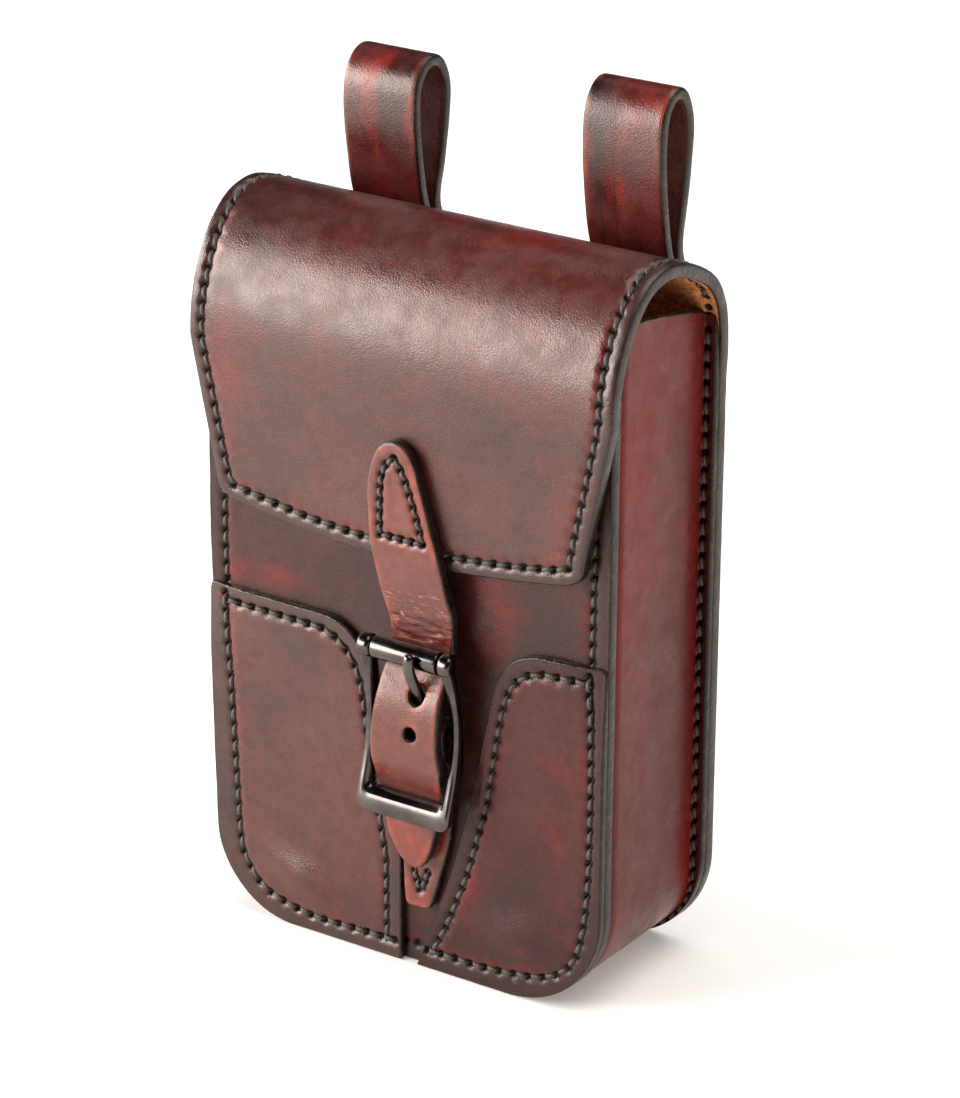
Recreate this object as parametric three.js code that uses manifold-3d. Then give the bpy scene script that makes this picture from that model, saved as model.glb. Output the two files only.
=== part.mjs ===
// Belt pouch: a hand-stitched leather pouch with an over-the-top flap, a buckled
// closing strap and two belt loops. Millimetres, X to the right, Y to the back, Z up.
import * as THREE from 'three';
import { mergeVertices } from 'three/addons/utils/BufferGeometryUtils.js';
import Module from 'manifold-3d';

// Body. Heights are measured from a level just under the base.
const baseHeight = 1.3;
const bodyDepth = 42.2; // outer face of the front panel to outer face of the back
const rightHalf = 50.3;
const leftHalf = 50.4;
const leftHalfLow = 48.2; // the left side draws in towards the bottom
const leftTaperStart = 88;
const rightCorner = 22.5; // radii of the bottom corners
const leftCorner = 20.5;
const gap = 0.3; // left between pieces that touch

// Leather thicknesses
const backLeather = 3;
const panelLeather = 2.4;
const overlayLeather = 1.4;
const gussetLeather = 1.8;
const strapLeather = 2.6;
const tabLeather = 1.8;
const loopLeather = 2.7;

// Flap, which is the back panel carried over the top
const flapHalf = 52.2;
const archSpring = 130; // height where the flat back starts to bend forward
const flapTaperStart = 131; // the flap's sides run straight down to here
const flapCornerHalf = 45.8; // half width at the lower corners
const flapCornerHeight = 97.4;
const flapCornerRadius = 4;
const flapPointHeight = 89.4; // lowest point of the shallow V
const archTop = 160.2;
const archFace = [ // outer face of the bend, back to front, as y and z
  [20.8, 136.5],
  [19.9, 141.8],
  [18.4, 146.6],
  [16.2, 150.4],
  [13.3, 153.5],
  [9.7, 155.8],
  [5.4, 157.8],
  [0.8, 159.4],
  [-3.8, archTop],
  [-8.2, 159.7],
  [-12.4, 158.1],
  [-16.3, 155],
  [-19.8, 150.6],
  [-22.2, 145.6],
  [-23.7, 141.2],
  [-24.6, 137],
  [-25, 131],
  [-24.9, 118],
];

// Gusset. Its front edge turns in behind the front panel, its rear edge turns out.
const wallSetFront = 0.3; // how far the side wall stands inside the panels' edge
const wallSetRear = 3;
const wallCornerEase = 4.5; // at the rear the wall turns its bottom corners this much tighter
const turnIn = 8;
const panelTop = 136;
const gussetTopFront = 152.1; // the gusset's top edge falls from front to back
const gussetTopRear = 144.2;

// Buckle
const buckleCentreX = 6.25;
const buckleHalfWidth = 11.65;
const buckleArmWidth = 2.3;
const buckleThickness = 3;
const bottomBarHeight = 5.2;
const topBar = { y: -28.6, z: 74.5, radius: 1.4 };
const centreBar = { y: -24.9, z: 57.5, radius: 1.4 };
const bottomBar = { y: -29.3, z: 40.6 };
const armMiddleY = -26.2; // the arms are dished back towards the centre bar
const roller = { inner: 1.75, outer: 2.4, length: 16.2 };
const collar = { radius: 2.5, length: 3.2 };
const prong = { x: 9.2, radius: 1.1, ringInner: 1.7, ringOuter: 2.7, tipY: -33.1, tipZ: 75.6 };
const spareHole = { x: 8.6, z: 58.2, radius: 1.75 };

// Belt loops
const loopFootHeight = 104; // lower end of the leg that lies on the back panel
const loopTailHeight = 97; // lower end of the leg that covers it
const loopStretchFrom = 150; // a taller loop is stretched above this height
const loops = [
  { name: 'belt_loop_left', centreX: -30.95, width: 18.6, stretch: 1, pinch: 0 },
  { name: 'belt_loop_right', centreX: 29, width: 19.2, stretch: 1.09, pinch: 0.09 },
];

// Finishes
const burgundy = 0x5a1f1d;
const darkBurgundy = 0x471716;
const blackMetal = 0x141414;

// Places worked out from the sizes
const backFace = bodyDepth / 2;
const backInner = backFace - backLeather;
const frontFace = -bodyDepth / 2;
const frontInner = frontFace + panelLeather;
const archMiddleY = -2; // the back's outline is cut behind this, the flap's before it
const flapFaceBottom = frontFace - gap - backLeather;
const farAway = 80; // reach of a cutting block, beyond every face
const margin = 1; // a cut passes the face it cuts by this much
const cutLeft = -12; // the strap and the tab are cut from strips this wide
const cutRight = 24;

const wasm = await Module();
wasm.setup();

// Turns a three.js geometry into a solid that can be cut and joined.
function solidOf(geometry) {
  const bare = geometry.clone();
  bare.deleteAttribute('normal');
  bare.deleteAttribute('uv');
  const merged = mergeVertices(bare);
  return new wasm.Manifold(new wasm.Mesh({
    numProp: 3,
    vertProperties: new Float32Array(merged.attributes.position.array),
    triVerts: new Uint32Array(merged.index.array),
  }));
}

// Turns a solid back into a three.js geometry.
function geometryOf(solid) {
  const mesh = solid.getMesh();
  const geometry = new THREE.BufferGeometry();
  geometry.setAttribute('position', new THREE.BufferAttribute(new Float32Array(mesh.vertProperties), 3));
  geometry.setIndex(new THREE.BufferAttribute(new Uint32Array(mesh.triVerts), 1));
  geometry.computeVertexNormals();
  return geometry;
}

// A plate cut to an outline of x and z, between two y values.
function plate(outline, nearY, farY, curveSegments = 10) {
  const geometry = new THREE.ExtrudeGeometry(outline, {
    depth: farY - nearY,
    bevelEnabled: false,
    curveSegments,
  });
  geometry.rotateX(Math.PI / 2);
  geometry.translate(0, farY, 0);
  return solidOf(geometry);
}

// A strip along a line of y and z, running across x. The line is the strip's middle, or
// its outer face where the inner reach is given.
function band(line, thickness, leftX, rightX, inward = thickness / 2) {
  const outerSide = [];
  const innerSide = [];
  line.forEach((point, index) => {
    const before = line[Math.max(index - 1, 0)];
    const after = line[Math.min(index + 1, line.length - 1)];
    const along = new THREE.Vector2().subVectors(after, before).normalize();
    const across = new THREE.Vector2(-along.y, along.x);
    outerSide.push(point.clone().addScaledVector(across, inward - thickness));
    innerSide.push(point.clone().addScaledVector(across, inward));
  });
  const outline = new THREE.Shape([...innerSide, ...outerSide.reverse()]);
  return acrossX(outline, leftX, rightX);
}

// A solid with one outline of y and z all the way across x.
function acrossX(outline, leftX, rightX) {
  const geometry = new THREE.ExtrudeGeometry(outline, { depth: rightX - leftX, bevelEnabled: false });
  geometry.applyMatrix4(new THREE.Matrix4().makeBasis(
    new THREE.Vector3(0, 1, 0),
    new THREE.Vector3(0, 0, 1),
    new THREE.Vector3(1, 0, 0),
  ));
  geometry.translate(leftX, 0, 0);
  return solidOf(geometry);
}

// A smooth line of y and z through a short table of places.
function smoothLine(places, steps) {
  const points = places.map(([y, z]) => new THREE.Vector2(y, z));
  return new THREE.SplineCurve(points).getSpacedPoints(steps);
}

function block(leftX, rightX, nearY, farY, bottomZ, topZ) {
  const geometry = new THREE.BoxGeometry(rightX - leftX, farY - nearY, topZ - bottomZ);
  geometry.translate((leftX + rightX) / 2, (nearY + farY) / 2, (bottomZ + topZ) / 2);
  return solidOf(geometry);
}

function barAcross(centre, radius, leftX, rightX, sides = 20) {
  const geometry = new THREE.CylinderGeometry(radius, radius, rightX - leftX, sides);
  geometry.rotateZ(Math.PI / 2);
  geometry.translate((leftX + rightX) / 2, centre.y, centre.z);
  return solidOf(geometry);
}

// A round rod between two places of y and z at one x.
function rodBetween(x, from, to, radius, sides = 14) {
  const start = new THREE.Vector3(x, from.y, from.z);
  const end = new THREE.Vector3(x, to.y, to.z);
  const geometry = new THREE.CylinderGeometry(radius, radius, start.distanceTo(end), sides);
  const along = new THREE.Vector3().subVectors(end, start).normalize();
  geometry.applyQuaternion(new THREE.Quaternion().setFromUnitVectors(new THREE.Vector3(0, 1, 0), along));
  geometry.translate(...start.add(end).multiplyScalar(0.5));
  return solidOf(geometry);
}

// A ring round an axis along x.
function ringAcross(x, centre, inner, outer, length, sides = 24) {
  const half = length / 2;
  const profile = [[inner, -half], [outer, -half], [outer, half], [inner, half], [inner, -half]];
  const geometry = new THREE.LatheGeometry(profile.map(([r, h]) => new THREE.Vector2(r, h)), sides);
  geometry.rotateZ(-Math.PI / 2);
  geometry.translate(x, centre.y, centre.z);
  return solidOf(geometry);
}

// The body's edge from the top of the left side, round the bottom, to the top of the right,
// drawn inset from the panels' edge. A cornerEase makes the corners that much tighter.
function bodyEdge(inset, top, cornerEase = 0) {
  const right = rightHalf - inset;
  const left = leftHalf - inset;
  const leftLow = leftHalfLow - inset;
  const bottom = baseHeight + inset;
  const rightRadius = rightCorner - inset - cornerEase;
  const leftRadius = leftCorner - inset - cornerEase;
  const points = [new THREE.Vector2(-left, top), new THREE.Vector2(-left, leftTaperStart)];
  const steps = 18;
  const addCorner = (centreX, radius, fromAngle) => {
    for (let step = 0; step <= steps; step += 1) {
      const angle = fromAngle + (Math.PI / 2) * (step / steps);
      points.push(new THREE.Vector2(
        centreX + radius * Math.cos(angle),
        bottom + radius + radius * Math.sin(angle),
      ));
    }
  };
  addCorner(-leftLow + leftRadius, leftRadius, Math.PI);
  addCorner(right - rightRadius, rightRadius, Math.PI * 1.5);
  points.push(new THREE.Vector2(right, top));
  return points;
}

// Outline of a panel: a U with round bottom corners. The back spreads above the bend.
function bodyOutline(top, widening = 0) {
  if (widening === 0) {
    return new THREE.Shape(bodyEdge(0, top));
  }
  const leftTop = new THREE.Vector2(-leftHalf - widening, top);
  const rightTop = new THREE.Vector2(rightHalf + widening, top);
  return new THREE.Shape([leftTop, ...bodyEdge(0, archSpring), rightTop]);
}

// The strip bent over the top, before it is cut to shape. It reaches inward by its own
// leather and any clearance.
function overTheTop(clearance = 0) {
  const bend = smoothLine([[backFace, archSpring], ...archFace], 40);
  const line = [
    new THREE.Vector2(backFace, 0),
    ...bend,
    new THREE.Vector2(flapFaceBottom, flapPointHeight - margin),
  ];
  const inward = backLeather + clearance;
  return band(line, inward, -flapHalf - margin, flapHalf + margin, inward);
}

// Back panel and flap in one piece, cut to the back's U and the flap's shallow V.
function makeBackAndFlap() {
  const top = archTop + margin;
  const cornerDrop = 0.8; // the V leaves each rounded corner this far below it
  const cornerInner = flapCornerHalf - flapCornerRadius;
  const flapOutline = new THREE.Shape();
  flapOutline.moveTo(-flapHalf, top);
  flapOutline.lineTo(-flapHalf, flapTaperStart);
  flapOutline.lineTo(-flapCornerHalf, flapCornerHeight + flapCornerRadius);
  flapOutline.quadraticCurveTo(
    -flapCornerHalf, flapCornerHeight, -cornerInner, flapCornerHeight - cornerDrop);
  flapOutline.quadraticCurveTo(
    0, flapPointHeight - cornerDrop, cornerInner, flapCornerHeight - cornerDrop);
  flapOutline.quadraticCurveTo(
    flapCornerHalf, flapCornerHeight, flapCornerHalf, flapCornerHeight + flapCornerRadius);
  flapOutline.lineTo(flapHalf, flapTaperStart);
  flapOutline.lineTo(flapHalf, top);

  const backPart = plate(bodyOutline(top, flapHalf - rightHalf), archMiddleY, farAway);
  const flapPart = plate(flapOutline, -farAway, archMiddleY);
  return overTheTop().intersect(backPart.add(flapPart));
}

function makeFrontPanel() {
  return plate(bodyOutline(panelTop), frontFace, frontInner);
}

// The two overlays share the panel's outer edge and leave a narrow wedge of it between them.
function makeOverlay(side) {
  const beyond = 60;
  const inner = new THREE.Shape();
  if (side === 'left') {
    inner.moveTo(-beyond, 0);
    inner.lineTo(0.6, 0);
    inner.lineTo(0.4, 25);
    inner.lineTo(-6.4, 61);
    inner.quadraticCurveTo(-8.8, 74.2, -19, 75.4);
    inner.lineTo(-beyond, 75.8);
  } else {
    inner.moveTo(beyond, 0);
    inner.lineTo(beyond, 79.6);
    inner.lineTo(36, 79);
    inner.quadraticCurveTo(25, 78.4, 23, 67);
    inner.lineTo(18, 43);
    inner.lineTo(12.8, 24);
    inner.lineTo(4, 0);
  }
  const rear = frontFace - gap;
  return plate(bodyOutline(panelTop), rear - overlayLeather, rear).intersect(plate(inner, -farAway, 0));
}

// Sweeps a closed profile along the body's edge. Each profile point gives a y, an inset and
// a cornerEase.
function sweepAlongEdge(profile, top) {
  const rings = profile.map(([y, inset, cornerEase]) => (
    bodyEdge(inset, top, cornerEase).map((point) => [point.x, y, point.y])
  ));
  const around = rings.length;
  const along = rings[0].length;
  const places = rings.flat(2);
  const index = [];
  for (let turn = 0; turn < around; turn += 1) {
    const next = (turn + 1) % around;
    for (let step = 0; step + 1 < along; step += 1) {
      const a = turn * along + step;
      const b = next * along + step;
      index.push(a, b, a + 1, b, b + 1, a + 1);
    }
  }
  const section = profile.map(([y, inset]) => new THREE.Vector2(y, inset));
  THREE.ShapeUtils.triangulateShape(section, []).forEach(([first, second, third]) => {
    const end = along - 1;
    index.push(first * along, third * along, second * along);
    index.push(first * along + end, second * along + end, third * along + end);
  });
  const geometry = new THREE.BufferGeometry();
  geometry.setAttribute('position', new THREE.BufferAttribute(new Float32Array(places), 3));
  geometry.setIndex(index);
  return solidOf(geometry);
}

// Side and bottom strip, sewn to both panels.
function makeGusset() {
  const near = frontInner + gap;
  const far = backInner - gap;
  const tall = gussetTopFront + 2 * margin;
  const strip = sweepAlongEdge([
    [near, wallSetFront, 0],
    [far - gussetLeather, wallSetRear, wallCornerEase],
    [far - gussetLeather, 0, 0],
    [far, 0, 0],
    [far, wallSetRear + gussetLeather, wallCornerEase],
    [near + gussetLeather, wallSetFront + gussetLeather, 0],
    [near + gussetLeather, turnIn, 0],
    [near, turnIn, 0],
  ], tall);

  const topEdge = new THREE.Shape();
  topEdge.moveTo(near - margin, 0);
  topEdge.lineTo(far + margin, 0);
  topEdge.lineTo(far + margin, gussetTopRear);
  topEdge.lineTo(far, gussetTopRear);
  topEdge.lineTo(near, gussetTopFront);
  topEdge.lineTo(near - margin, gussetTopFront);
  return strip
    .intersect(acrossX(topEdge, -leftHalf - margin, rightHalf + margin))
    .subtract(overTheTop(gap));
}

const prongRoot = { y: centreBar.y - 2, z: centreBar.z + 1.3 }; // on the ring's front
const prongTip = { y: prong.tipY, z: prong.tipZ };

// Strap sewn on the flap: down over its edge, under the roller, over the centre bar
// and under the bottom bar.
function makeClosingStrap() {
  const line = smoothLine([
    [-26.5, 121],
    [-26.35, 106],
    [-26.1, 90],
    [-25.3, 83],
    [-24.45, topBar.z],
    [-26.8, 70],
    [-29.3, 64.5],
    [-30.05, centreBar.z],
    [-29.1, 52],
    [-27.1, 47.4],
    [-25.4, 43],
    [-25.3, 39],
    [-25.7, 34],
    [-26, 25],
  ], 46);

  const outline = new THREE.Shape();
  outline.moveTo(1.7, 119.4);
  outline.quadraticCurveTo(6.4, 119, 8, 112);
  outline.lineTo(12.9, 96);
  outline.lineTo(15.8, 84);
  outline.lineTo(15.2, 77);
  outline.lineTo(15.2, 51);
  outline.lineTo(13.6, 43);
  outline.lineTo(11.6, 33);
  outline.quadraticCurveTo(10.2, 26.2, 7, 26.2);
  outline.quadraticCurveTo(3, 26.2, 0, 33);
  outline.lineTo(-2.8, 43);
  outline.lineTo(-2.6, 49);
  outline.lineTo(-1.3, 58);
  outline.lineTo(-0.4, 66);
  outline.lineTo(-0.2, 80);
  outline.lineTo(-4.4, 97);
  outline.lineTo(-5, 107);
  outline.quadraticCurveTo(-4.4, 119, 1.7, 119.4);

  const strip = band(line, strapLeather, cutLeft, cutRight);
  const openHole = rodBetween(
    spareHole.x,
    { y: -farAway, z: spareHole.z },
    { y: centreBar.y - centreBar.radius - gap, z: spareHole.z },
    spareHole.radius,
  );
  const clearance = 0.4; // round the prong where it comes through the strap
  const prongHole = rodBetween(prong.x, prongRoot, prongTip, prong.radius + clearance);
  return strip
    .intersect(plate(outline, -farAway, 0, 8))
    .subtract(openHole)
    .subtract(prongHole);
}

// Tab that holds the buckle: folded round the centre bar, slotted for the prong and
// sewn to the front panel between the overlays.
function makeBuckleTab() {
  const radius = centreBar.radius + gap + tabLeather / 2;
  const layer = frontFace - gap - tabLeather / 2;
  const frontLayer = layer - tabLeather - gap;
  const line = [new THREE.Vector2(layer, 14), new THREE.Vector2(layer, 50)];
  const turnSteps = 12;
  for (let step = 0; step <= turnSteps; step += 1) {
    const angle = (Math.PI * step) / turnSteps;
    line.push(new THREE.Vector2(
      centreBar.y + (layer - centreBar.y) * Math.cos(angle),
      centreBar.z + radius * Math.sin(angle),
    ));
  }
  line.push(new THREE.Vector2(centreBar.y - 1.6, 53.5));
  line.push(new THREE.Vector2(frontLayer, 50.4));
  line.push(new THREE.Vector2(frontLayer, 48.4));

  const outline = new THREE.Shape();
  outline.moveTo(3.4, 15);
  outline.lineTo(7, 15.1);
  outline.quadraticCurveTo(8.4, 15.4, 9, 17.2);
  outline.lineTo(12.9, 31);
  outline.lineTo(14.4, 44);
  outline.lineTo(14.6, 64);
  outline.lineTo(-3, 64);
  outline.lineTo(-3, 46);
  outline.lineTo(1, 32);
  outline.lineTo(1.6, 17.2);
  outline.quadraticCurveTo(1.8, 15.2, 3.4, 15);

  const slotHalf = 2;
  const slotReach = 4.7; // above and below the centre bar
  const slot = block(prong.x - slotHalf, prong.x + slotHalf, -farAway, frontFace,
    centreBar.z - slotReach, centreBar.z + slotReach);
  return band(line, tabLeather, cutLeft, cutRight)
    .intersect(plate(outline, -farAway, 0, 6))
    .subtract(slot);
}

// Buckle frame: two arms and a bottom bar in one dished casting, with a thin top bar
// for the roller and a centre bar for the prong.
function makeBuckleFrame() {
  const left = buckleCentreX - buckleHalfWidth;
  const right = buckleCentreX + buckleHalfWidth;
  const bottom = bottomBar.z - bottomBarHeight / 2;
  const cornerRound = 2;
  const outline = new THREE.Shape();
  outline.moveTo(left + cornerRound, bottom);
  outline.lineTo(right - cornerRound, bottom);
  outline.quadraticCurveTo(right, bottom, right, bottom + cornerRound);
  outline.lineTo(right, topBar.z);
  outline.lineTo(right - buckleArmWidth, topBar.z);
  outline.lineTo(right - buckleArmWidth, bottom + bottomBarHeight);
  outline.lineTo(left + buckleArmWidth, bottom + bottomBarHeight);
  outline.lineTo(left + buckleArmWidth, topBar.z);
  outline.lineTo(left, topBar.z);
  outline.lineTo(left, bottom + cornerRound);
  outline.quadraticCurveTo(left, bottom, left + cornerRound, bottom);

  const dish = smoothLine([
    [bottomBar.y, bottom - margin],
    [bottomBar.y, bottomBar.z],
    [armMiddleY, centreBar.z - 5],
    [armMiddleY, centreBar.z + 5],
    [topBar.y, topBar.z],
    [topBar.y, topBar.z + margin],
  ], 20);
  const leftCollar = barAcross(topBar, collar.radius, left, left + collar.length);
  const rightCollar = barAcross(topBar, collar.radius, right - collar.length, right);
  return plate(outline, -farAway, 0, 6)
    .intersect(band(dish, buckleThickness, left - margin, right + margin))
    .add(barAcross(topBar, topBar.radius, left + margin, right - margin))
    .add(barAcross(centreBar, centreBar.radius, left + margin, right - margin))
    .add(leftCollar)
    .add(rightCollar);
}

function makeBuckleRoller() {
  return ringAcross(buckleCentreX, topBar, roller.inner, roller.outer, roller.length);
}

function makeBuckleProng() {
  const ring = ringAcross(prong.x, centreBar, prong.ringInner, prong.ringOuter, prong.radius * 2);
  const bore = barAcross(centreBar, prong.ringInner, prong.x - 2 * margin, prong.x + 2 * margin, 24);
  return rodBetween(prong.x, prongRoot, prongTip, prong.radius).add(ring).subtract(bore);
}

// Belt loop: a strap with both legs on the back panel. It leans on the arch of the flap
// and opens into a drop shape above it.
function makeBeltLoop(loop) {
  const onBack = backFace + gap + loopLeather / 2;
  const overLeg = onBack + loopLeather + gap;
  const front = 13.8; // how far forward the open part of the loop leans
  const places = [
    [onBack, loopFootHeight],
    [onBack, 120],
    [onBack, 130],
    [onBack - 0.25, 136.5],
    [21.6, 142],
    [20, 147.3],
    [17.9, 151.6],
    [16.4, 155.9],
    [15.3, 161],
    [front, 171],
    [14.1, 179],
    [16.4, 182.9],
    [19.5, 184.1],
    [22.5, 182.6],
    [24.6, 177.5],
    [24, 169],
    [22.5, 161],
    [21.3, 156.2],
    [21.3, 152.6],
    [22.9, 148.4],
    [24.6, 142.7],
    [overLeg - 0.25, 136.8],
    [overLeg, 130],
    [overLeg, 120],
    [overLeg, loopTailHeight],
  ];
  const fullPinchRise = 8;
  const shaped = places.map(([y, z]) => {
    const rise = Math.max(z - loopStretchFrom, 0);
    const drawnIn = loop.pinch * Math.min(rise / fullPinchRise, 1) * Math.max(y - front, 0);
    return [y - drawnIn, z + rise * (loop.stretch - 1)];
  });
  const left = loop.centreX - loop.width / 2;
  return band(smoothLine(shaped, 76), loopLeather, left, left + loop.width);
}

function leatherMaterial(color, roughness) {
  return new THREE.MeshStandardMaterial({ color, roughness, metalness: 0 });
}

function metalMaterial() {
  return new THREE.MeshStandardMaterial({ color: blackMetal, roughness: 0.22, metalness: 0.6 });
}

const pieces = [
  { name: 'back_and_flap', solid: makeBackAndFlap(), material: leatherMaterial(burgundy, 0.42) },
  { name: 'front_panel', solid: makeFrontPanel(), material: leatherMaterial(burgundy, 0.42) },
  { name: 'front_overlay_left', solid: makeOverlay('left'), material: leatherMaterial(burgundy, 0.4) },
  { name: 'front_overlay_right', solid: makeOverlay('right'), material: leatherMaterial(burgundy, 0.45) },
  { name: 'gusset', solid: makeGusset(), material: leatherMaterial(burgundy, 0.5) },
  { name: 'closing_strap', solid: makeClosingStrap(), material: leatherMaterial(darkBurgundy, 0.45) },
  { name: 'buckle_tab', solid: makeBuckleTab(), material: leatherMaterial(darkBurgundy, 0.45) },
  { name: 'buckle_frame', solid: makeBuckleFrame(), material: metalMaterial() },
  { name: 'buckle_roller', solid: makeBuckleRoller(), material: metalMaterial() },
  { name: 'buckle_prong', solid: makeBuckleProng(), material: metalMaterial() },
  ...loops.map((loop) => ({
    name: loop.name,
    solid: makeBeltLoop(loop),
    material: leatherMaterial(darkBurgundy, 0.4),
  })),
];

const pouch = new THREE.Group();
for (const piece of pieces) {
  const mesh = new THREE.Mesh(geometryOf(piece.solid), piece.material);
  mesh.name = piece.name;
  pouch.add(mesh);
}

// The origin is the middle of the footprint that the whole pouch fills, on the base.
const middle = new THREE.Box3().setFromObject(pouch).getCenter(new THREE.Vector3());
pouch.position.set(-middle.x, -middle.y, -baseHeight);
pouch.updateMatrixWorld(true);

const group = new THREE.Group();
group.add(pouch);

export default group;
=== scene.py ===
import math

import bmesh
import bpy
import numpy as np
from mathutils import Matrix, Vector, kdtree, noise
from mathutils.geometry import delaunay_2d_cdt


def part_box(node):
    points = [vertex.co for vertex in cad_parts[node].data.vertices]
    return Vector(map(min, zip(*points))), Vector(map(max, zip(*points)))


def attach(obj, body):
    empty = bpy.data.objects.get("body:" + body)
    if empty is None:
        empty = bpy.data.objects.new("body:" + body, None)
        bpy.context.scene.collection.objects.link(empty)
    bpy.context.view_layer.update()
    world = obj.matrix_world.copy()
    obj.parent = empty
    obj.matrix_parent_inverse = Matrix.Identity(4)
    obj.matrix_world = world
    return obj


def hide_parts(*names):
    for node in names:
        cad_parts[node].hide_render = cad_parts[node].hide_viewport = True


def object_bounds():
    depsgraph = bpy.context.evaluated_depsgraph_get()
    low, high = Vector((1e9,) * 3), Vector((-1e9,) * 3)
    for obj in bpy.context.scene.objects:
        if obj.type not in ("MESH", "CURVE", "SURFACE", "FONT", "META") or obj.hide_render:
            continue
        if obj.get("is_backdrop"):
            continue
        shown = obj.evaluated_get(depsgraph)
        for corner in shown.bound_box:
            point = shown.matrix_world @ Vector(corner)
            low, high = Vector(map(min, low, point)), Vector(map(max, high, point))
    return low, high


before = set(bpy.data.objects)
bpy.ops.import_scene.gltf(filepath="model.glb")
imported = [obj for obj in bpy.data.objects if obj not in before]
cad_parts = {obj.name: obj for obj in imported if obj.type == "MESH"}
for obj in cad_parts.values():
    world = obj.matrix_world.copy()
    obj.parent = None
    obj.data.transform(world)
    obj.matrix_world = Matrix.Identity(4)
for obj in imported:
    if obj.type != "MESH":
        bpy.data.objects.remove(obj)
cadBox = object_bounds()
mm = 0.001


def nodeBox(node):
    low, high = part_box(node)
    return np.array(low) / mm, np.array(high) / mm


# Rows of numbers made one long.
def unit(rows):
    return rows / np.linalg.norm(rows, axis=1)[:, None]


def lengths(line):
    steps = np.hypot(*np.diff(line, axis=0).T)
    return np.concatenate([[0.0], np.cumsum(steps)])


# Points every so far along a line, keeping its ends.
def spaced(line, spacing, closed=False):
    line = np.array(line, float)
    if closed:
        line = np.vstack([line, line[:1]])
    run = lengths(line)
    count = max(int(round(run[-1] / spacing)), 1)
    marks = np.linspace(0, run[-1], count + 1)
    points = np.column_stack([np.interp(marks, run, line[:, i]) for i in (0, 1)])
    return points[:-1] if closed else points


# An outline from a start and steps: two numbers go straight there, four numbers bend
# past the first point to the second.
def trace(start, *steps):
    points = [np.array(start, float)]
    for step in steps:
        here = points[-1]
        if len(step) == 2:
            points.append(np.array(step, float))
            continue
        pull, there = np.array(step[:2]), np.array(step[2:])
        for t in np.linspace(0, 1, 13)[1:]:
            points.append((1 - t) ** 2 * here + 2 * t * (1 - t) * pull + t * t * there)
    return np.array(points)


# A smooth line through a few points.
def smooth(points, perSpan=14):
    points = np.array(points, float)
    padded = np.vstack([points[:1], points, points[-1:]])
    line = []
    for i in range(len(points) - 1):
        a, b, c, d = padded[i:i + 4]
        for t in np.arange(perSpan) / perSpan:
            line.append(0.5 * (2 * b + (c - a) * t + (2 * a - 5 * b + 4 * c - d) * t * t
                               + (3 * b - a - 3 * c + d) * t ** 3))
    line.append(points[-1])
    return np.array(line)


# The way into the outline at each of its points; the outline runs anticlockwise.
def inward(line):
    ahead = unit(np.roll(line, -1, 0) - line)
    behind = unit(line - np.roll(line, 1, 0))
    turn = unit(np.column_stack([-(ahead + behind)[:, 1], (ahead + behind)[:, 0]]))
    square = np.clip((turn * np.column_stack([-ahead[:, 1], ahead[:, 0]])).sum(1), 0.6, 1)
    return turn / square[:, None]


def anticlockwise(line):
    x, y = line.T
    area = (x * np.roll(y, -1) - y * np.roll(x, -1)).sum()
    return line if area > 0 else line[::-1]


def pointTree(points):
    tree = kdtree.KDTree(len(points))
    for i, (u, v) in enumerate(points):
        tree.insert((u, v, 0), i)
    tree.balance()
    return tree


class Near:
    # Distance from many points to a line, and the place on it.
    def __init__(self, line, closed=False, spacing=0.1):
        self.line, self.closed = spaced(line, spacing, closed), closed
        self.tree = pointTree(self.line)

    def find(self, points):
        points = np.asarray(points, float)
        place = np.array([self.tree.find((u, v, 0))[1] for u, v in points], int)
        count = len(self.line)
        gap = np.full(len(points), 1e9)
        for step in (-1, 0):
            first = (place + step) % count if self.closed else np.clip(place + step, 0, count - 2)
            start = self.line[first]
            span = self.line[(first + 1) % count] - start
            share = np.clip(((points - start) * span).sum(1) / (span ** 2).sum(1), 0, 1)
            gap = np.minimum(gap, np.linalg.norm(points - start - share[:, None] * span, axis=1))
        return gap, place


bodyShape = dict(
    right=50.3, left=50.4,
    leftLow=48.2, taperFrom=86.7,  # the left side draws in below this height
    rightCorner=22.5, leftCorner=20.5,
)


# A place on the body's edge in x and z. The seven marks of q are: top left, where the
# taper starts, the left corner's two ends, the right corner's two ends, top right.
def edgePlace(q, inset, ease, top):
    shape = bodyShape
    q, inset, ease = np.broadcast_arrays(np.asarray(q, float), inset, ease)
    leftRound = shape["leftCorner"] - inset - ease
    rightRound = shape["rightCorner"] - inset - ease
    left, leftLow = inset - shape["left"], inset - shape["leftLow"]
    right = shape["right"] - inset
    leftMid, rightMid = leftLow + leftRound, right - rightRound
    part = np.clip(np.floor(q), 0, 5).astype(int)
    t = q - part
    leftTurn = math.pi + t * math.pi / 2
    rightTurn = 1.5 * math.pi + t * math.pi / 2
    x = np.choose(part, [
        left, left + t * (leftLow - left), leftMid + leftRound * np.cos(leftTurn),
        leftMid + t * (rightMid - leftMid), rightMid + rightRound * np.cos(rightTurn), right])
    lowLeft, lowRight = inset + leftRound, inset + rightRound
    z = np.choose(part, [
        top + t * (shape["taperFrom"] - top),
        shape["taperFrom"] + t * (lowLeft - shape["taperFrom"]),
        lowLeft + leftRound * np.sin(leftTurn), inset,
        lowRight + rightRound * np.sin(rightTurn), lowRight + t * (top - lowRight)])
    return np.column_stack([x.ravel(), z.ravel()])


def bodyOutline(top):
    marks = np.concatenate([[0, 1], 2 + np.linspace(0, 1, 25), 4 + np.linspace(0, 1, 25), [6]])
    return edgePlace(marks, 0.0, 0.0, top)


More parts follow.
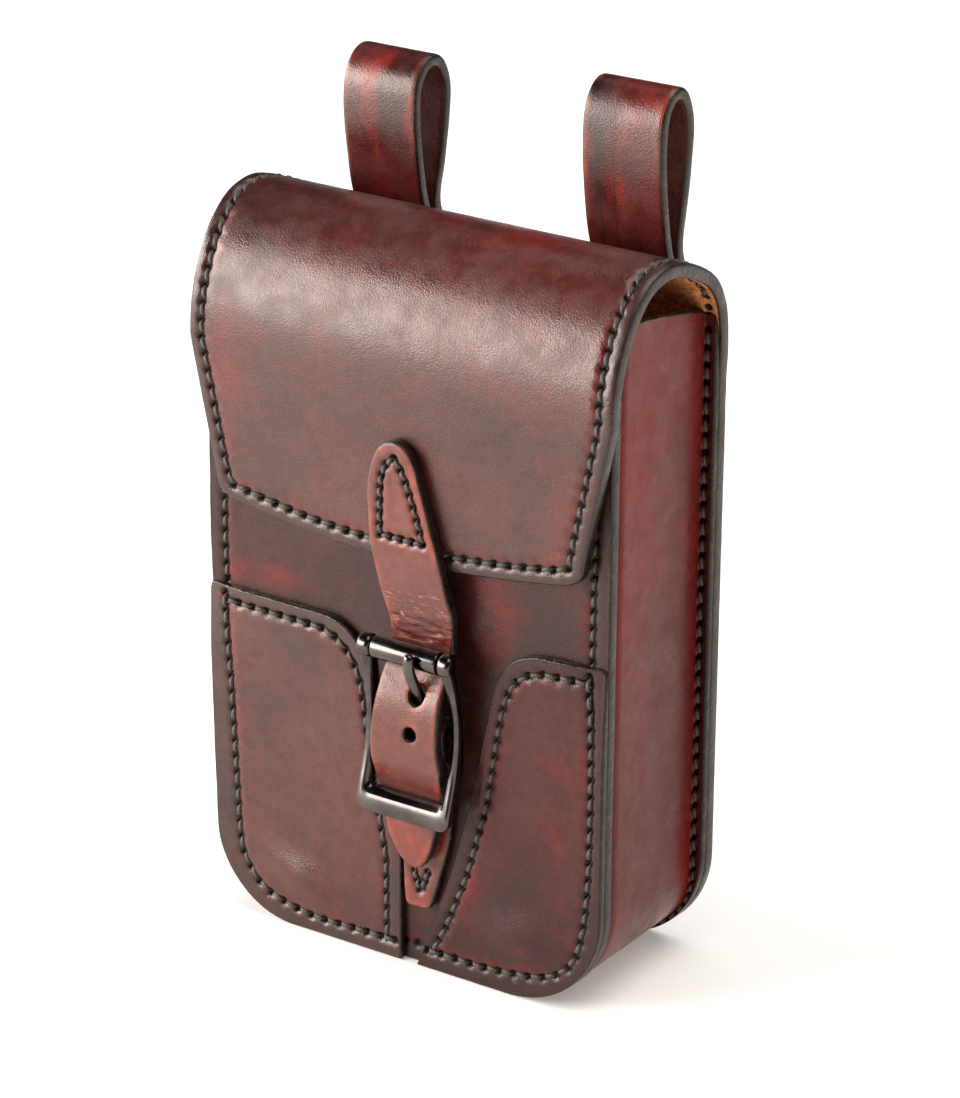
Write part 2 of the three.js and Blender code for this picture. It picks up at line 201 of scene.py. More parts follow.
# A flat sheet stands on a plane of constant y and faces the front.
def flatForm(face):
    return lambda u, v, h: np.column_stack([u, face - h, v])


# A sheet bent along a line of y and z, running across x. Heights go to the line's right.
def bentForm(line):
    line = spaced(line, 0.4)
    run = lengths(line)
    along = unit(np.gradient(line, run, axis=0))

    def form(u, v, h):
        v = np.asarray(v, float)
        y, z = (np.interp(v, run, line[:, i]) for i in (0, 1))
        over = np.clip(v, None, 0) + np.clip(v - run[-1], 0, None)
        ay, az = (np.interp(v, run, along[:, i]) for i in (0, 1))
        return np.column_stack([u, y + ay * over + az * h, z + az * over - ay * h])

    form.line, form.run = line, run
    return form


def ripple(points, size, seed):
    return np.array([noise.noise((u / size, v / size, seed)) for u, v in points])


# What every sheet starts from; a piece changes what it needs.
sheetSpec = dict(
    fine=0.6, coarse=1.5, edgeStep=0.55, cutStep=0.35, foldStep=0.8,  # how far apart its points are
    wideFromEdge=2.4, wideFromSeam=1.7, closeToEdge=2.1, closeToSeam=1.4, holeRoom=1.05,
    groove=0.28, pit=1.1, puff=0.06,  # how the sewing draws it in, and how far round it
    grooveReach=0.75, pitReach=0.7, puffAt=1.7, puffReach=1.0,
    uneven=0.12, unevenSize=14, edgeSoft=0.1, edgeSoftSize=5, seed=1,
    folds=[], grain="top", both=False,
)


# Points for a sheet: rings inside the edge, close ones by seams and edges, wide ones between.
def sheetPoints(outline, cutouts, seamLines, holes, spec):
    loops = [spaced(outline, spec["edgeStep"], True)] + [spaced(c, spec["cutStep"], True) for c in cutouts]
    edges = [Near(outline, True)] + [Near(c, True, 0.05) for c in cutouts]
    seams = [Near(line, False, 0.3) for line in seamLines]
    holeTree = pointTree(holes)
    roundness = max(spec["round"])
    depths = [roundness * (1 - math.cos(a)) for a in (0.45, 0.9, 1.25)] + [roundness * 1.15]
    rings = [loops[0] + inward(loops[0]) * depth for depth in depths]
    for loop in loops[1:]:
        rings += [loop - inward(loop) * depth for depth in depths[1:]]
    low, high = outline.min(0), outline.max(0)

    def honeycomb(step):
        rows = np.arange(low[1], high[1], step * 0.866)
        cols = np.arange(low[0], high[0], step)
        grid = [(c + (i % 2) * step / 2, r) for i, r in enumerate(rows) for c in cols]
        return np.array(grid)

    wide, close = honeycomb(spec["coarse"]), honeycomb(spec["fine"])

    # how far points are from the edge, the seams and the holes
    def gaps(points):
        toEdge, toSeam = (np.min([line.find(points)[0] for line in lines], axis=0) if lines
                          else np.full(len(points), 99.0) for lines in (edges, seams))
        toHole = np.array([holeTree.find((u, v, 0))[2] for u, v in points])
        return toEdge, toSeam, toHole

    wide, close = (points[pointsInside(points, outline, cutouts)] for points in (wide, close))
    toEdge, toSeam = gaps(wide)[:2]
    keepWide = (toEdge > spec["wideFromEdge"]) & (toSeam > spec["wideFromSeam"])
    toEdge, toSeam, toHole = gaps(close)
    keepClose = (toEdge > depths[-1] + 0.3) & (toHole > spec["holeRoom"])
    keepClose &= (toEdge < spec["closeToEdge"]) | (toSeam < spec["closeToSeam"])
    points = [wide[keepWide], close[keepClose]]
    # rows of points along each fold, so that the sheet bends in a clean line
    folds, foldStep = np.array(spec["folds"]), spec["foldStep"]
    if len(folds):
        points = [p[np.abs(p[:, 1][:, None] - folds).min(1) > 0.35] for p in points]
        columns = np.arange(low[0] + foldStep, high[0] - foldStep, foldStep)
        points += [np.column_stack([columns, np.full(len(columns), fold)]) for fold in folds]
    points += rings
    for reach, count in [(0.0, 1), (0.38, 6), (0.76, 11)]:
        angle = np.arange(count) * 2 * math.pi / count
        spokes = np.column_stack([np.cos(angle), np.sin(angle)]) * reach
        points.append((holes[:, None] + spokes[None]).reshape(-1, 2))
    extra = np.vstack(points)
    toEdge = gaps(extra)[0]
    extra = extra[pointsInside(extra, outline, cutouts) & (toEdge > 0.03)]
    return loops, extra, gaps


def pointsInside(points, outline, cutouts=()):
    inside = np.zeros(len(points), bool)
    u, v = points.T
    for loop in [outline, *cutouts]:
        ahead = np.roll(loop, -1, 0)
        for (ax, ay), (bx, by) in zip(loop, ahead):
            if ay != by:
                crosses = ((ay > v) != (by > v)) & (u < (bx - ax) * (v - ay) / (by - ay) + ax)
                inside ^= crosses
    return inside


# One piece of leather cut to an outline, with rounded edges, seam grooves and holes.
def cutLeather(name, spec, outline, form, seams, cutouts=(), drift=None, relief=None):
    spec = dict(sheetSpec, **spec)
    outline = anticlockwise(np.array(outline, float))
    cutouts = [anticlockwise(np.array(c, float)) for c in cutouts]
    seamLines = [seam["line"] for seam in seams]
    holes = np.vstack([seam["holes"] for seam in seams])
    loops, extra, gaps = sheetPoints(outline, cutouts, seamLines, holes, spec)
    coords, links = [], []
    for loop in loops:
        first = len(coords)
        coords += [Vector(p) for p in loop]
        links += [(first + i, first + (i + 1) % len(loop)) for i in range(len(loop))]
    coords += [Vector(p) for p in extra]
    flat = delaunay_2d_cdt(coords, links, [], 2, 1e-5, False)
    points = np.array([tuple(p) for p in flat[0]])
    corners = np.array([f for f in flat[2]])
    kept = pointsInside(points[corners].mean(1), outline, cutouts)
    faces = [tuple(f) for f in corners[kept].tolist()]
    toEdge, toSeam, toHole = gaps(points)
    toEdge[toEdge < 0.03] = 0

    def rounded(radius):
        near = np.clip(toEdge / radius, 0, 1)
        return radius * (1 - np.sqrt(1 - (1 - near) ** 2))

    groove = np.exp(-(toSeam / spec["grooveReach"]) ** 2) * spec["groove"]
    pit = np.exp(-(toHole / spec["pitReach"]) ** 2) * spec["pit"]
    puff = np.exp(-((toSeam - spec["puffAt"]) / spec["puffReach"]) ** 2) * spec["puff"]
    uneven = ripple(points, spec["unevenSize"], spec["seed"]) * spec["uneven"]
    edgeSoft = ripple(points, spec["edgeSoftSize"], spec["seed"] + 7) * np.exp(-toEdge / 1.2)
    edgeSoft *= spec["edgeSoft"]
    worked = puff - groove - pit + edgeSoft
    top = spec["top"] - rounded(spec["round"][0]) + worked
    bottom = spec["bottom"] + rounded(spec["round"][1]) - (worked if spec["both"] else 0)
    if relief is not None:
        top = top + relief(points, toEdge)
    shift = uneven if drift is None else uneven + drift(points)
    u, v = points.T
    count = len(points)
    places = np.vstack([form(u, v, top + shift), form(u, v, bottom + shift)])
    sides = dict.fromkeys((a, b) for face in faces for a, b in zip(face, face[1:] + face[:1]))
    rim = [(b, a) for a, b in sides if (b, a) not in sides]
    solid = faces + [tuple(i + count for i in reversed(f)) for f in faces]
    solid += [(a, b, b + count, a + count) for a, b in rim]

    # the distance from the seam, below nought on the side of the edge
    signed = np.full(count, 40.0)
    for seam in seams:
        near = Near(seam["line"], False, 0.3)
        reach, place = near.find(points)
        border = gaps(near.line)[0][place]
        beyond = (toEdge < border) & (reach < border + 1.5) & seam["border"]
        mine = np.where(beyond, -reach, reach)
        closer = np.abs(mine) < np.abs(signed)
        signed[closer] = mine[closer]
    fields = dict(edgeGap=toEdge, seamSide=signed, holeGap=np.minimum(toHole, 9.0))
    fields = {key: np.tile(value, 2) for key, value in fields.items()}
    flesh = {"top": (0, 1), "bottom": (1, 0), "both": (0, 0)}[spec["grain"]]
    fields["fleshSide"] = np.repeat(np.array(flesh, float), count)
    fields["alongU"], fields["alongV"] = np.tile(u, 2), np.tile(v, 2)
    piece = meshPiece(name, places, solid, fields)
    print("cut", name, len(piece.data.polygons))
    return piece


def meshPiece(name, places, faces, fields=None):
    mesh = bpy.data.meshes.new(name)
    mesh.from_pydata((places * mm).tolist(), [], faces)
    for key, values in (fields or {}).items():
        layer = mesh.attributes.new(key, "FLOAT", "POINT")
        layer.data.foreach_set("value", values.astype(np.float32))
    tidy = bmesh.new()
    tidy.from_mesh(mesh)
    bmesh.ops.recalc_face_normals(tidy, faces=tidy.faces)
    tidy.to_mesh(mesh)
    tidy.free()
    mesh.shade_smooth()
    piece = bpy.data.objects.new(name, mesh)
    bpy.context.scene.collection.objects.link(piece)
    return piece


# A seam with holes pricked along it.
def seamAlong(line, pitch=3.66, border=True):
    run = lengths(np.array(line, float))[-1]
    holes = spaced(line, run / max(round(run / pitch), 1))
    return dict(line=np.array(line, float), holes=holes, border=border)


threadSpec = dict(
    width=0.5, height=0.42, lean=0.24, sides=10, proud=0.1, wander=0.08,
    # how far along the stitch, and how high over the leather
    share=[0.12, 0.16, 0.22, 0.31, 0.43, 0.57, 0.69, 0.78, 0.84, 0.88],
    rise=[-1.3, -0.9, -0.4, 0.45, 1.0, 1.0, 0.45, -0.4, -0.9, -1.3],
)


# Faces of a tube with so many rings of so many sides, and then its two flat ends.
def tubeFaces(rings, sides, first=0):
    faces = []
    for here in range(first, first + (rings - 1) * sides, sides):
        for j in range(sides):
            k = (j + 1) % sides
            faces.append((here + j, here + k, here + sides + k, here + sides + j))
    last = first + (rings - 1) * sides
    faces.append(tuple(first + j for j in reversed(range(sides))))
    faces.append(tuple(last + j for j in range(sides)))
    return faces


# One stitch from each hole to the next, on one face of a sheet.
def sewThread(name, rows):
    spec = threadSpec
    places, faces, twist, around = [], [], [], []
    share, rise = np.array(spec["share"]), np.array(spec["rise"])
    rise = np.where(rise > 0, rise * spec["proud"], rise)
    full = 0.75 + 0.3 * np.sin(np.pi * (share - share[0]) / (share[-1] - share[0]))
    sides = spec["sides"]
    angle = np.arange(sides) * 2 * math.pi / sides
    number = 0
    for row in rows:
        holes, form, level, out = row["holes"], row["form"], row["level"], row["out"]
        for a, b in zip(holes[:-1], holes[1:]):
            reach = np.linalg.norm(b - a)
            if reach < 1 or reach > 6:
                continue
            number += 1
            wander = noise.noise((number * 0.7, 3.1, 0)) * spec["wander"]
            side = np.array([a[1] - b[1], b[0] - a[0]]) / reach * (spec["lean"] + wander)
            mid = a[None] + (b - a)[None] * share[:, None] + side[None] * (1 - 2 * share)[:, None]
            high = level + out * (rise + wander * 0.5)
            centre = form(mid[:, 0], mid[:, 1], high)
            above = unit(form(mid[:, 0], mid[:, 1], high + out * 0.2) - centre)
            ahead = unit(np.gradient(centre, axis=0))
            across = unit(np.cross(ahead, above))
            above = np.cross(across, ahead)
            ring = (across[:, None] * (np.cos(angle) * spec["width"])[None, :, None]
                    + above[:, None] * (np.sin(angle) * spec["height"])[None, :, None])
            ring = centre[:, None] + ring * full[:, None, None]
            faces += tubeFaces(len(share), sides, len(places) * len(share) * sides)
            places.append(ring.reshape(-1, 3))
            twist.append(np.repeat(share * reach + number * 1.7, sides))
            around.append(np.tile(np.arange(sides) / sides, len(share)))
    fields = dict(threadRun=np.concatenate(twist), threadTurn=np.concatenate(around))
    piece = meshPiece(name, np.vstack(places), faces, fields)
    finish(piece, threadFinish)
    print("sewn", name, number, "stitches")


# Gives a piece its material and body, and hides the plain solid that it stands for.
def finish(piece, material, node=None):
    piece.data.materials.append(material)
    if node:
        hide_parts(node)
    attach(piece, "root")


class Tree:
    # A short way to add shader nodes and link them.
    def __init__(self, name):
        self.material = bpy.data.materials.new(name)
        self.material.use_nodes = True
        self.nodes = self.material.node_tree.nodes
        self.links = self.material.node_tree.links
        self.nodes.clear()

    def add(self, kind, inputs=None, **settings):
        node = self.nodes.new("ShaderNode" + kind)
        for key, value in settings.items():
            setattr(node, key, value)
        for key, value in (inputs or {}).items():
            self.set(node.inputs[key], value)
        return node

    def set(self, socket, value):
        if isinstance(value, bpy.types.NodeSocket):
            self.links.new(value, socket)
        elif isinstance(value, bpy.types.Node):
            self.links.new(value.outputs[0], socket)
        else:
            socket.default_value = value

    def math(self, operation, a, b=0.0, clamp=False):
        return self.add("Math", {0: a, 1: b}, operation=operation, use_clamp=clamp).outputs[0]

    def times(self, a, b):
        return self.math("MULTIPLY", a, b)

    def plus(self, a, b):
        return self.math("ADD", a, b)

    def spread(self, value, low, high, toLow=0.0, toHigh=1.0):
        inputs = {"Value": value, "From Min": low, "From Max": high, "To Min": toLow, "To Max": toHigh}
        return self.add("MapRange", inputs, interpolation_type="SMOOTHSTEP").outputs[0]

    def field(self, name):
        return self.add("Attribute", attribute_name=name).outputs["Fac"]

    def noise(self, where, scale, detail=3.0, roughness=0.55, distortion=0.0):
        inputs = {"Vector": where, "Scale": scale, "Detail": detail, "Roughness": roughness,
                  "Distortion": distortion}
        return self.add("TexNoise", inputs).outputs["Fac"]

    def mix(self, share, a, b, blend="MIX"):
        node = self.add("Mix", data_type="RGBA", blend_type=blend)
        for index, value in ((0, share), (6, a), (7, b)):
            self.set(node.inputs[index], value)
        return node.outputs[2]

    def stretch(self, where, scale):
        return self.add("Mapping", {"Vector": where, "Scale": scale}).outputs[0]

    # how far a value is from a mark
    def away(self, value, mark):
        return self.math("ABSOLUTE", self.math("SUBTRACT", value, mark))

    # a colour made lighter or darker
    def toned(self, colour, tone):
        grey = self.add("CombineColor", {0: tone, 1: tone, 2: tone}).outputs[0]
        return self.mix(1.0, colour, grey, "MULTIPLY")

    # the shader with its fine relief, and so the finished material
    def done(self, colour, rough, height, relief, more=None):
        strength, distance = relief
        bump = self.add("Bump", {"Strength": strength, "Distance": distance, "Height": height})
        shader = self.add("BsdfPrincipled", {"Base Color": colour, "Roughness": rough, "Normal": bump,
                                             **(more or {})})
        out = self.add("OutputMaterial")
        self.links.new(shader.outputs[0], out.inputs[0])
        return self.material


def tint(red, green, blue):
    parts = [c / 255 for c in (red, green, blue)]
    return [c / 12.92 if c <= 0.04045 else ((c + 0.055) / 1.055) ** 2.4 for c in parts] + [1.0]


leatherLook = dict(
    brown=tint(77, 33, 29), dark=tint(56, 24, 22), crimson=tint(108, 16, 16), border=tint(44, 23, 20),
    edge=tint(25, 17, 14), edgeLight=tint(48, 35, 29), suede=tint(238, 158, 96),
    suedeDark=tint(158, 86, 46), worn=tint(158, 66, 42),
    crimsonShare=0.2, mottle=28.0, borderReach=0.5, roughness=0.32, streak=(1, 1, 1),
    redLine=0.38, edgeReach=0.7, wornShare=0.0, gloss=0.6, sheenTint=(1.0, 0.86, 0.78, 1.0), blush=[],
    bands=[], lines=[], scratches=None, scratch=tint(190, 132, 112), relief=(0.3, 0.00017),
)


# The sizes of the leather's markings, as noise scales, and how much the fine ones stand up.
grainSizes = dict(tone=420.0, wobble=260.0, scratches=700.0, burnish=520.0, fibre=900.0, shine=160.0,
                  cells=1500.0, pores=2600.0, creases=520.0)
grainHeights = dict(cells=0.35, pores=0.5, creases=0.9, nap=6.0, burnish=5.0)


# A soft spot round a place in metres, as tall and wide as its reach.
def spot(tree, where, place, reach):
    scale = [1 / r for r in reach]
    near = tree.add("Mapping", {"Vector": where, "Scale": scale,
                                "Location": [-p * k for p, k in zip(place, scale)]}).outputs[0]
    away = tree.add("VectorMath", {0: near}, operation="LENGTH").outputs["Value"]
    return tree.spread(away, 1.0, 0.25)


def leatherFinish(name, **changes):
    look = dict(leatherLook, **changes)
    tree = Tree(name)
    where = tree.add("TexCoord").outputs["Object"]
    streaked = tree.stretch(where, look["streak"])
    edgeGap, seamSide = tree.field("edgeGap"), tree.field("seamSide")
    holeGap, fleshSide = tree.field("holeGap"), tree.field("fleshSide")

    cloudy = tree.noise(streaked, look["mottle"], 3.0, 0.55, 0.3)
    patchy = tree.noise(streaked, look["mottle"] * 3.3, 3.0, 0.6, 0.2)
    fineTone = tree.noise(where, grainSizes["tone"], 2.0, 0.7)
    wobble = tree.times(tree.math("SUBTRACT", tree.noise(where, grainSizes["wobble"], 2.0), 0.5), 1.6)

    colour = tree.mix(tree.spread(cloudy, 0.38, 0.66), look["brown"], look["dark"])
    red = tree.times(tree.spread(patchy, 0.52, 0.72), look["crimsonShare"])
    colour = tree.mix(red, colour, look["crimson"])

    for place, reach, share in look["blush"]:
        warm = tree.times(spot(tree, where, place, reach), tree.spread(patchy, 0.25, 0.55))
        colour = tree.mix(tree.times(warm, share), colour, look["crimson"])
    for low, high, tone, share in look["bands"]:
        half = (high - low) / 2
        away = tree.plus(tree.away(tree.field("alongV"), low + half), tree.times(wobble, 1.2))
        colour = tree.mix(tree.spread(away, half + 0.8, half - 0.8, 0.0, share), colour, tone)
    # painted shade: each of the look's lines darkens the leather to the edge colour along one u, standing in
    # for the shade in a crease
    for line in look["lines"]:
        away = tree.plus(tree.away(tree.field("alongU"), line), tree.times(wobble, 0.25))
        colour = tree.mix(tree.spread(away, 0.3, 0.05, 0.0, 0.75), colour, look["edge"])
    if look["scratches"]:
        low, high = look["scratches"]
        run = tree.field("alongV")
        here = tree.times(tree.spread(run, low - 3.0, low), tree.spread(run, high + 3.0, high))
        marks = tree.noise(tree.stretch(where, (0.25, 1, 1.5)), grainSizes["scratches"], 4.0, 0.7, 1.0)
        marks = tree.times(tree.spread(marks, 0.56, 0.66), here)
        colour = tree.mix(tree.times(marks, 0.6), colour, look["scratch"])
    rubbed = tree.times(tree.spread(edgeGap, 2.2, 0.8), tree.spread(patchy, 0.36, 0.6))
    colour = tree.mix(tree.times(rubbed, look["wornShare"]), colour, look["worn"])

    # the dye pulls back from the seam and shows red there
    side = tree.plus(seamSide, wobble)
    line = tree.times(tree.spread(side, 0.1, 0.9), tree.spread(side, 3.6, 1.2))
    line = tree.times(line, tree.spread(patchy, 0.4, 0.62))
    colour = tree.mix(tree.times(line, look["redLine"]), colour, look["crimson"])
    border = tree.times(tree.spread(side, look["borderReach"], -0.9),
                        tree.spread(patchy, 0.3, 0.65, 0.45, 0.95))
    colour = tree.mix(border, colour, look["border"])
    pits = tree.spread(fineTone, 0.25, 0.75, 0.78, 1.2)
    colour = tree.toned(colour, pits)
    atEdge = tree.spread(tree.plus(edgeGap, tree.times(wobble, 0.3)),
                         look["edgeReach"], look["edgeReach"] * 0.4)
    burnish = tree.noise(where, grainSizes["burnish"], 3.0, 0.75, 0.6)
    edgeTone = tree.mix(tree.spread(burnish, 0.42, 0.7), look["edge"], look["edgeLight"])
    colour = tree.mix(atEdge, colour, edgeTone)

    # the flesh side
    fibre = tree.noise(where, grainSizes["fibre"], 3.0, 0.8, 1.2)
    suedeTone = tree.mix(tree.spread(fibre, 0.35, 0.65), look["suedeDark"], look["suede"])
    suedeTone = tree.mix(tree.spread(cloudy, 0.5, 0.75, 0.0, 0.5), suedeTone, look["suedeDark"])
    inner = tree.times(fleshSide, tree.spread(edgeGap, 0.5, 1.0))
    colour = tree.mix(inner, colour, suedeTone)
    # painted shade: the leather is painted near black round each stitch hole, for the shade inside the hole
    holeShade = tree.plus(holeGap, tree.times(wobble, 0.25))
    colour = tree.mix(tree.spread(holeShade, 1.2, 0.85), colour, tint(10, 6, 6))

    rough = tree.spread(tree.noise(where, grainSizes["shine"], 2.0), 0.3, 0.7,
                        look["roughness"] - 0.06, look["roughness"] + 0.1)
    rough = tree.math("ADD", rough, tree.times(inner, 0.5), True)

    cells = tree.add("TexVoronoi", {"Vector": where, "Scale": grainSizes["cells"], "Randomness": 1.0},
                     feature="DISTANCE_TO_EDGE").outputs["Distance"]
    pores = tree.noise(where, grainSizes["pores"], 2.0, 0.7)
    creases = tree.noise(where, grainSizes["creases"], 4.0, 0.65)
    height = tree.times(tree.spread(cells, 0.0, 0.28), grainHeights["cells"])
    height = tree.plus(height, tree.times(pores, grainHeights["pores"]))
    height = tree.plus(height, tree.times(creases, grainHeights["creases"]))
    height = tree.plus(height, tree.times(tree.times(fibre, inner), grainHeights["nap"]))
    height = tree.plus(height, tree.times(tree.times(burnish, atEdge), grainHeights["burnish"]))
    return tree.done(colour, rough, height, look["relief"],
                     {"Specular IOR Level": look["gloss"], "Specular Tint": look["sheenTint"]})


def makeThreadFinish():
    tree = Tree("waxed black thread")
    where = tree.add("TexCoord").outputs["Object"]
    run, turn = tree.field("threadRun"), tree.field("threadTurn")
    phase = tree.plus(tree.times(run, 7.0), tree.times(turn, 12.566))
    twist = tree.math("ABSOLUTE", tree.math("SINE", phase))
    fuzzAndGlints = tree.noise(where, 2400.0, 4.0, 0.7)
    # painted shade and highlight: the thread is painted darker in the grooves between its plies and lighter
    # on their crests
    colour = tree.mix(tree.spread(twist, 0.0, 0.7), tint(34, 28, 25), tint(72, 62, 55))
    # pale specks painted on the thread, partly fuzz and partly painted glints off the wax
    colour = tree.mix(tree.spread(fuzzAndGlints, 0.6, 0.8, 0.0, 0.5), colour, tint(122, 110, 100))
    height = tree.plus(tree.times(twist, 0.7), tree.times(fuzzAndGlints, 0.5))
    return tree.done(colour, tree.spread(fuzzAndGlints, 0.3, 0.7, 0.4, 0.62), height, (0.7, 0.00012))


def makeMetalFinish():
    tree = Tree("black lacquered metal")
    where = tree.add("TexCoord").outputs["Object"]
    cloudy = tree.noise(where, 180.0, 4.0)
    speck = tree.noise(where, 2200.0, 3.0, 0.7)
    colour = tree.mix(tree.spread(cloudy, 0.3, 0.7), tint(76, 70, 68), tint(96, 89, 86))
    rough = tree.spread(cloudy, 0.3, 0.7, 0.14, 0.24)
    return tree.done(colour, rough, speck, (0.06, 0.00004), {"Metallic": 1.0})


threadFinish = makeThreadFinish()
metalFinish = makeMetalFinish()
bodyFinish = leatherFinish("burgundy body leather", blush=[
    ((-0.043, -0.022, 0.124), (0.006, 0.03, 0.024), 0.4),
    ((0.041, -0.022, 0.112), (0.006, 0.03, 0.020), 0.2),
    ((0.016, 0.004, 0.158), (0.03, 0.016, 0.02), 0.7),
])
panelFinish = leatherFinish("dark front panel leather", brown=tint(58, 25, 24), dark=tint(42, 18, 18),
                            gloss=0.4, blush=[
    ((0.0215, -0.0176, 0.083), (0.009, 0.02, 0.015), 0.5),
    ((-0.036, -0.0176, 0.0785), (0.018, 0.02, 0.004), 0.55),
])
rightFinish = leatherFinish("crimson overlay leather", brown=tint(68, 23, 23), dark=tint(48, 17, 18),
                            gloss=0.38, crimsonShare=0.35, blush=[
    ((0.0200, -0.019, 0.060), (0.006, 0.02, 0.022), 0.9),
])
gussetFinish = leatherFinish("burgundy gusset leather", streak=(1, 1, 0.3), mottle=36.0, gloss=0.2,
                             redLine=0.03, brown=tint(116, 40, 34), dark=tint(92, 33, 29),
                             border=tint(62, 26, 23), crimsonShare=0.4, crimson=tint(122, 20, 18), blush=[
    ((0.0503, -0.007, 0.122), (0.03, 0.010, 0.026), 1.0),
    ((0.0503, -0.013, 0.085), (0.03, 0.006, 0.034), 0.7),
])
strapFinish = leatherFinish("worn strap leather", brown=tint(98, 46, 38), dark=tint(72, 34, 29),
                            crimson=tint(132, 44, 28), crimsonShare=0.3, edge=tint(20, 14, 12),
                            edgeLight=tint(40, 28, 24), edgeReach=0.5, wornShare=0.45,
                            blush=[((0.0052, -0.0185, 0.0335), (0.008, 0.02, 0.011), 0.85)],
                            bands=[(38.4, 43.6, tint(78, 18, 18), 0.85)], scratches=(34.0, 43.6))
loopLook = dict(streak=(1, 1, 0.4), mottle=44.0, brown=tint(84, 24, 21), dark=tint(30, 8, 8),
                crimson=tint(128, 24, 16), crimsonShare=0.65, suede=tint(110, 40, 26),
                suedeDark=tint(54, 18, 14), wornShare=0.35)
leftLoopFinish = leatherFinish("brick red loop leather", **loopLook)
# the right loop's two lines are painted crease shade
rightLoopFinish = leatherFinish("creased loop leather with painted crease shade", lines=[23.6, 27.1], **loopLook)


panelLow, panelHigh = nodeBox("front_panel")
overlayLow = nodeBox("front_overlay_left")[0]
panelForm = flatForm(panelLow[1])
overlayForm = flatForm(overlayLow[1])

# where the front's outer seam runs, from the top left round the base to the top right
frontSeam = smooth([
    (-46.3, 134), (-46.3, 97.4), (-46.1, 79.4), (-44.7, 62.2), (-43.8, 51), (-42.7, 32.7),
    (-41.7, 17.7), (-39.8, 11.8), (-34.7, 6.6), (-23.5, 3.9), (-12.4, 3.9), (0.7, 4.1),
    (13.1, 4.3), (21.7, 4.4), (35, 6.0), (41.2, 9.0), (44.8, 14.2), (47, 27.6), (47.4, 52.4),
    (47, 67.7), (46.2, 76), (46.2, 98.8), (46.3, 134)], 8)
panelSpec = dict(top=0.0, bottom=panelLow[1] - panelHigh[1] - 0.2, round=(0.5, 0.2), coarse=2.0, seed=2,
                 uneven=0.1)


# the front swells a little low down, where it was pressed over the base
def frontSwell(points):
    x, z = points.T
    left = 1.6 * np.exp(-((x + 25) / 9) ** 2 - ((z - 12.2 + 0.2 * (x + 25)) / 4.6) ** 2)
    right = 1.3 * np.exp(-((x - 31) / 7) ** 2 - ((z - 14) / 5.0) ** 2)
    middle = 0.4 * np.exp(-((x - 36) / 8) ** 2 - ((z - 50) / 14) ** 2)
    return left + right + middle


panelSeam = seamAlong(frontSeam)
frontPanel = cutLeather("front_panel_leather", panelSpec, bodyOutline(panelHigh[2]), panelForm,
                        [panelSeam], drift=frontSwell)
finish(frontPanel, panelFinish, "front_panel")


overlaySpec = dict(
    leather=dict(top=0.0, bottom=overlayLow[1] - panelLow[1] + 0.05, round=(0.55, 0.12), seed=4,
                 coarse=1.4, uneven=0.09),
    left=dict(
        side=-1, cornerX=-50.0, seamFrom=-0.5, look=bodyFinish,
        inner=trace((0.6, 0), (0.4, 23.7), (-6.4, 59.7), (-8.8, 72.9, -19, 74.1), (-50, 74.45)),
        seam=trace((-3.1, 4), (-3.4, 23), (-4.9, 31), (-9.4, 57.2), (-11, 69.6, -20.5, 70.9),
                   (-45.2, 71.2)),
    ),
    right=dict(
        side=1, cornerX=50.3, seamFrom=7, look=rightFinish,
        inner=trace((4.5, 0), (12.8, 22.7), (18, 41.7), (23, 65.7), (25, 77.1, 36, 77.7), (50.3, 78.1)),
        seam=trace((8.6, 4.2), (12.4, 11.7), (17.2, 24), (22.2, 42.6), (25.3, 62.5), (27, 73.4, 37, 74.2),
                   (46.3, 74.6)),
    ),
)


# the overlay is pared thin where its top edge meets the body's side
def paredCorner(points, corner):
    away = (points[:, 0] - corner[0]) ** 2 / 30 + (points[:, 1] - corner[1]) ** 2 / 130
    return -0.95 * np.exp(-away)


overlaySeams = {}
for name in ("left", "right"):
    shape = overlaySpec[name]
    side, inner, seamFrom = shape["side"], shape["inner"], shape["seamFrom"]
    foot, topHeight = [[inner[0, 0], 0.0]], inner[-1, 1]
    below = spaced(bodyOutline(90.0), 0.5)
    outside = side * (below[:, 0] - np.interp(below[:, 1], inner[:, 1], inner[:, 0])) > 0
    keep = below[outside & (below[:, 1] < topHeight)]
    rim = keep[(keep[:, 1] > 0.01) & (keep[:, 1] < topHeight - 1.6)]
    topX = keep[0 if side < 0 else -1, 0]
    shoulder = [[topX - side * 1.4, topHeight], [topX - side * 0.4, topHeight - 0.5]]
    if side < 0:
        outline = np.vstack([rim, foot, inner[1:-1], shoulder])
    else:
        outline = np.vstack([foot, rim, shoulder[::-1], inner[1:-1][::-1]])
    onThis = (frontSeam[:, 1] < topHeight - 0.5) & (side * frontSeam[:, 0] > side * seamFrom)
    seams = [seamAlong(frontSeam[onThis]), seamAlong(shape["seam"])]
    overlaySeams[name] = seams
    corner = (shape["cornerX"], topHeight)
    piece = cutLeather("front_overlay_" + name + "_leather", overlaySpec["leather"], outline, overlayForm,
                       seams, drift=frontSwell, relief=lambda points, toEdge: paredCorner(points, corner))
    finish(piece, shape["look"], "front_overlay_" + name)


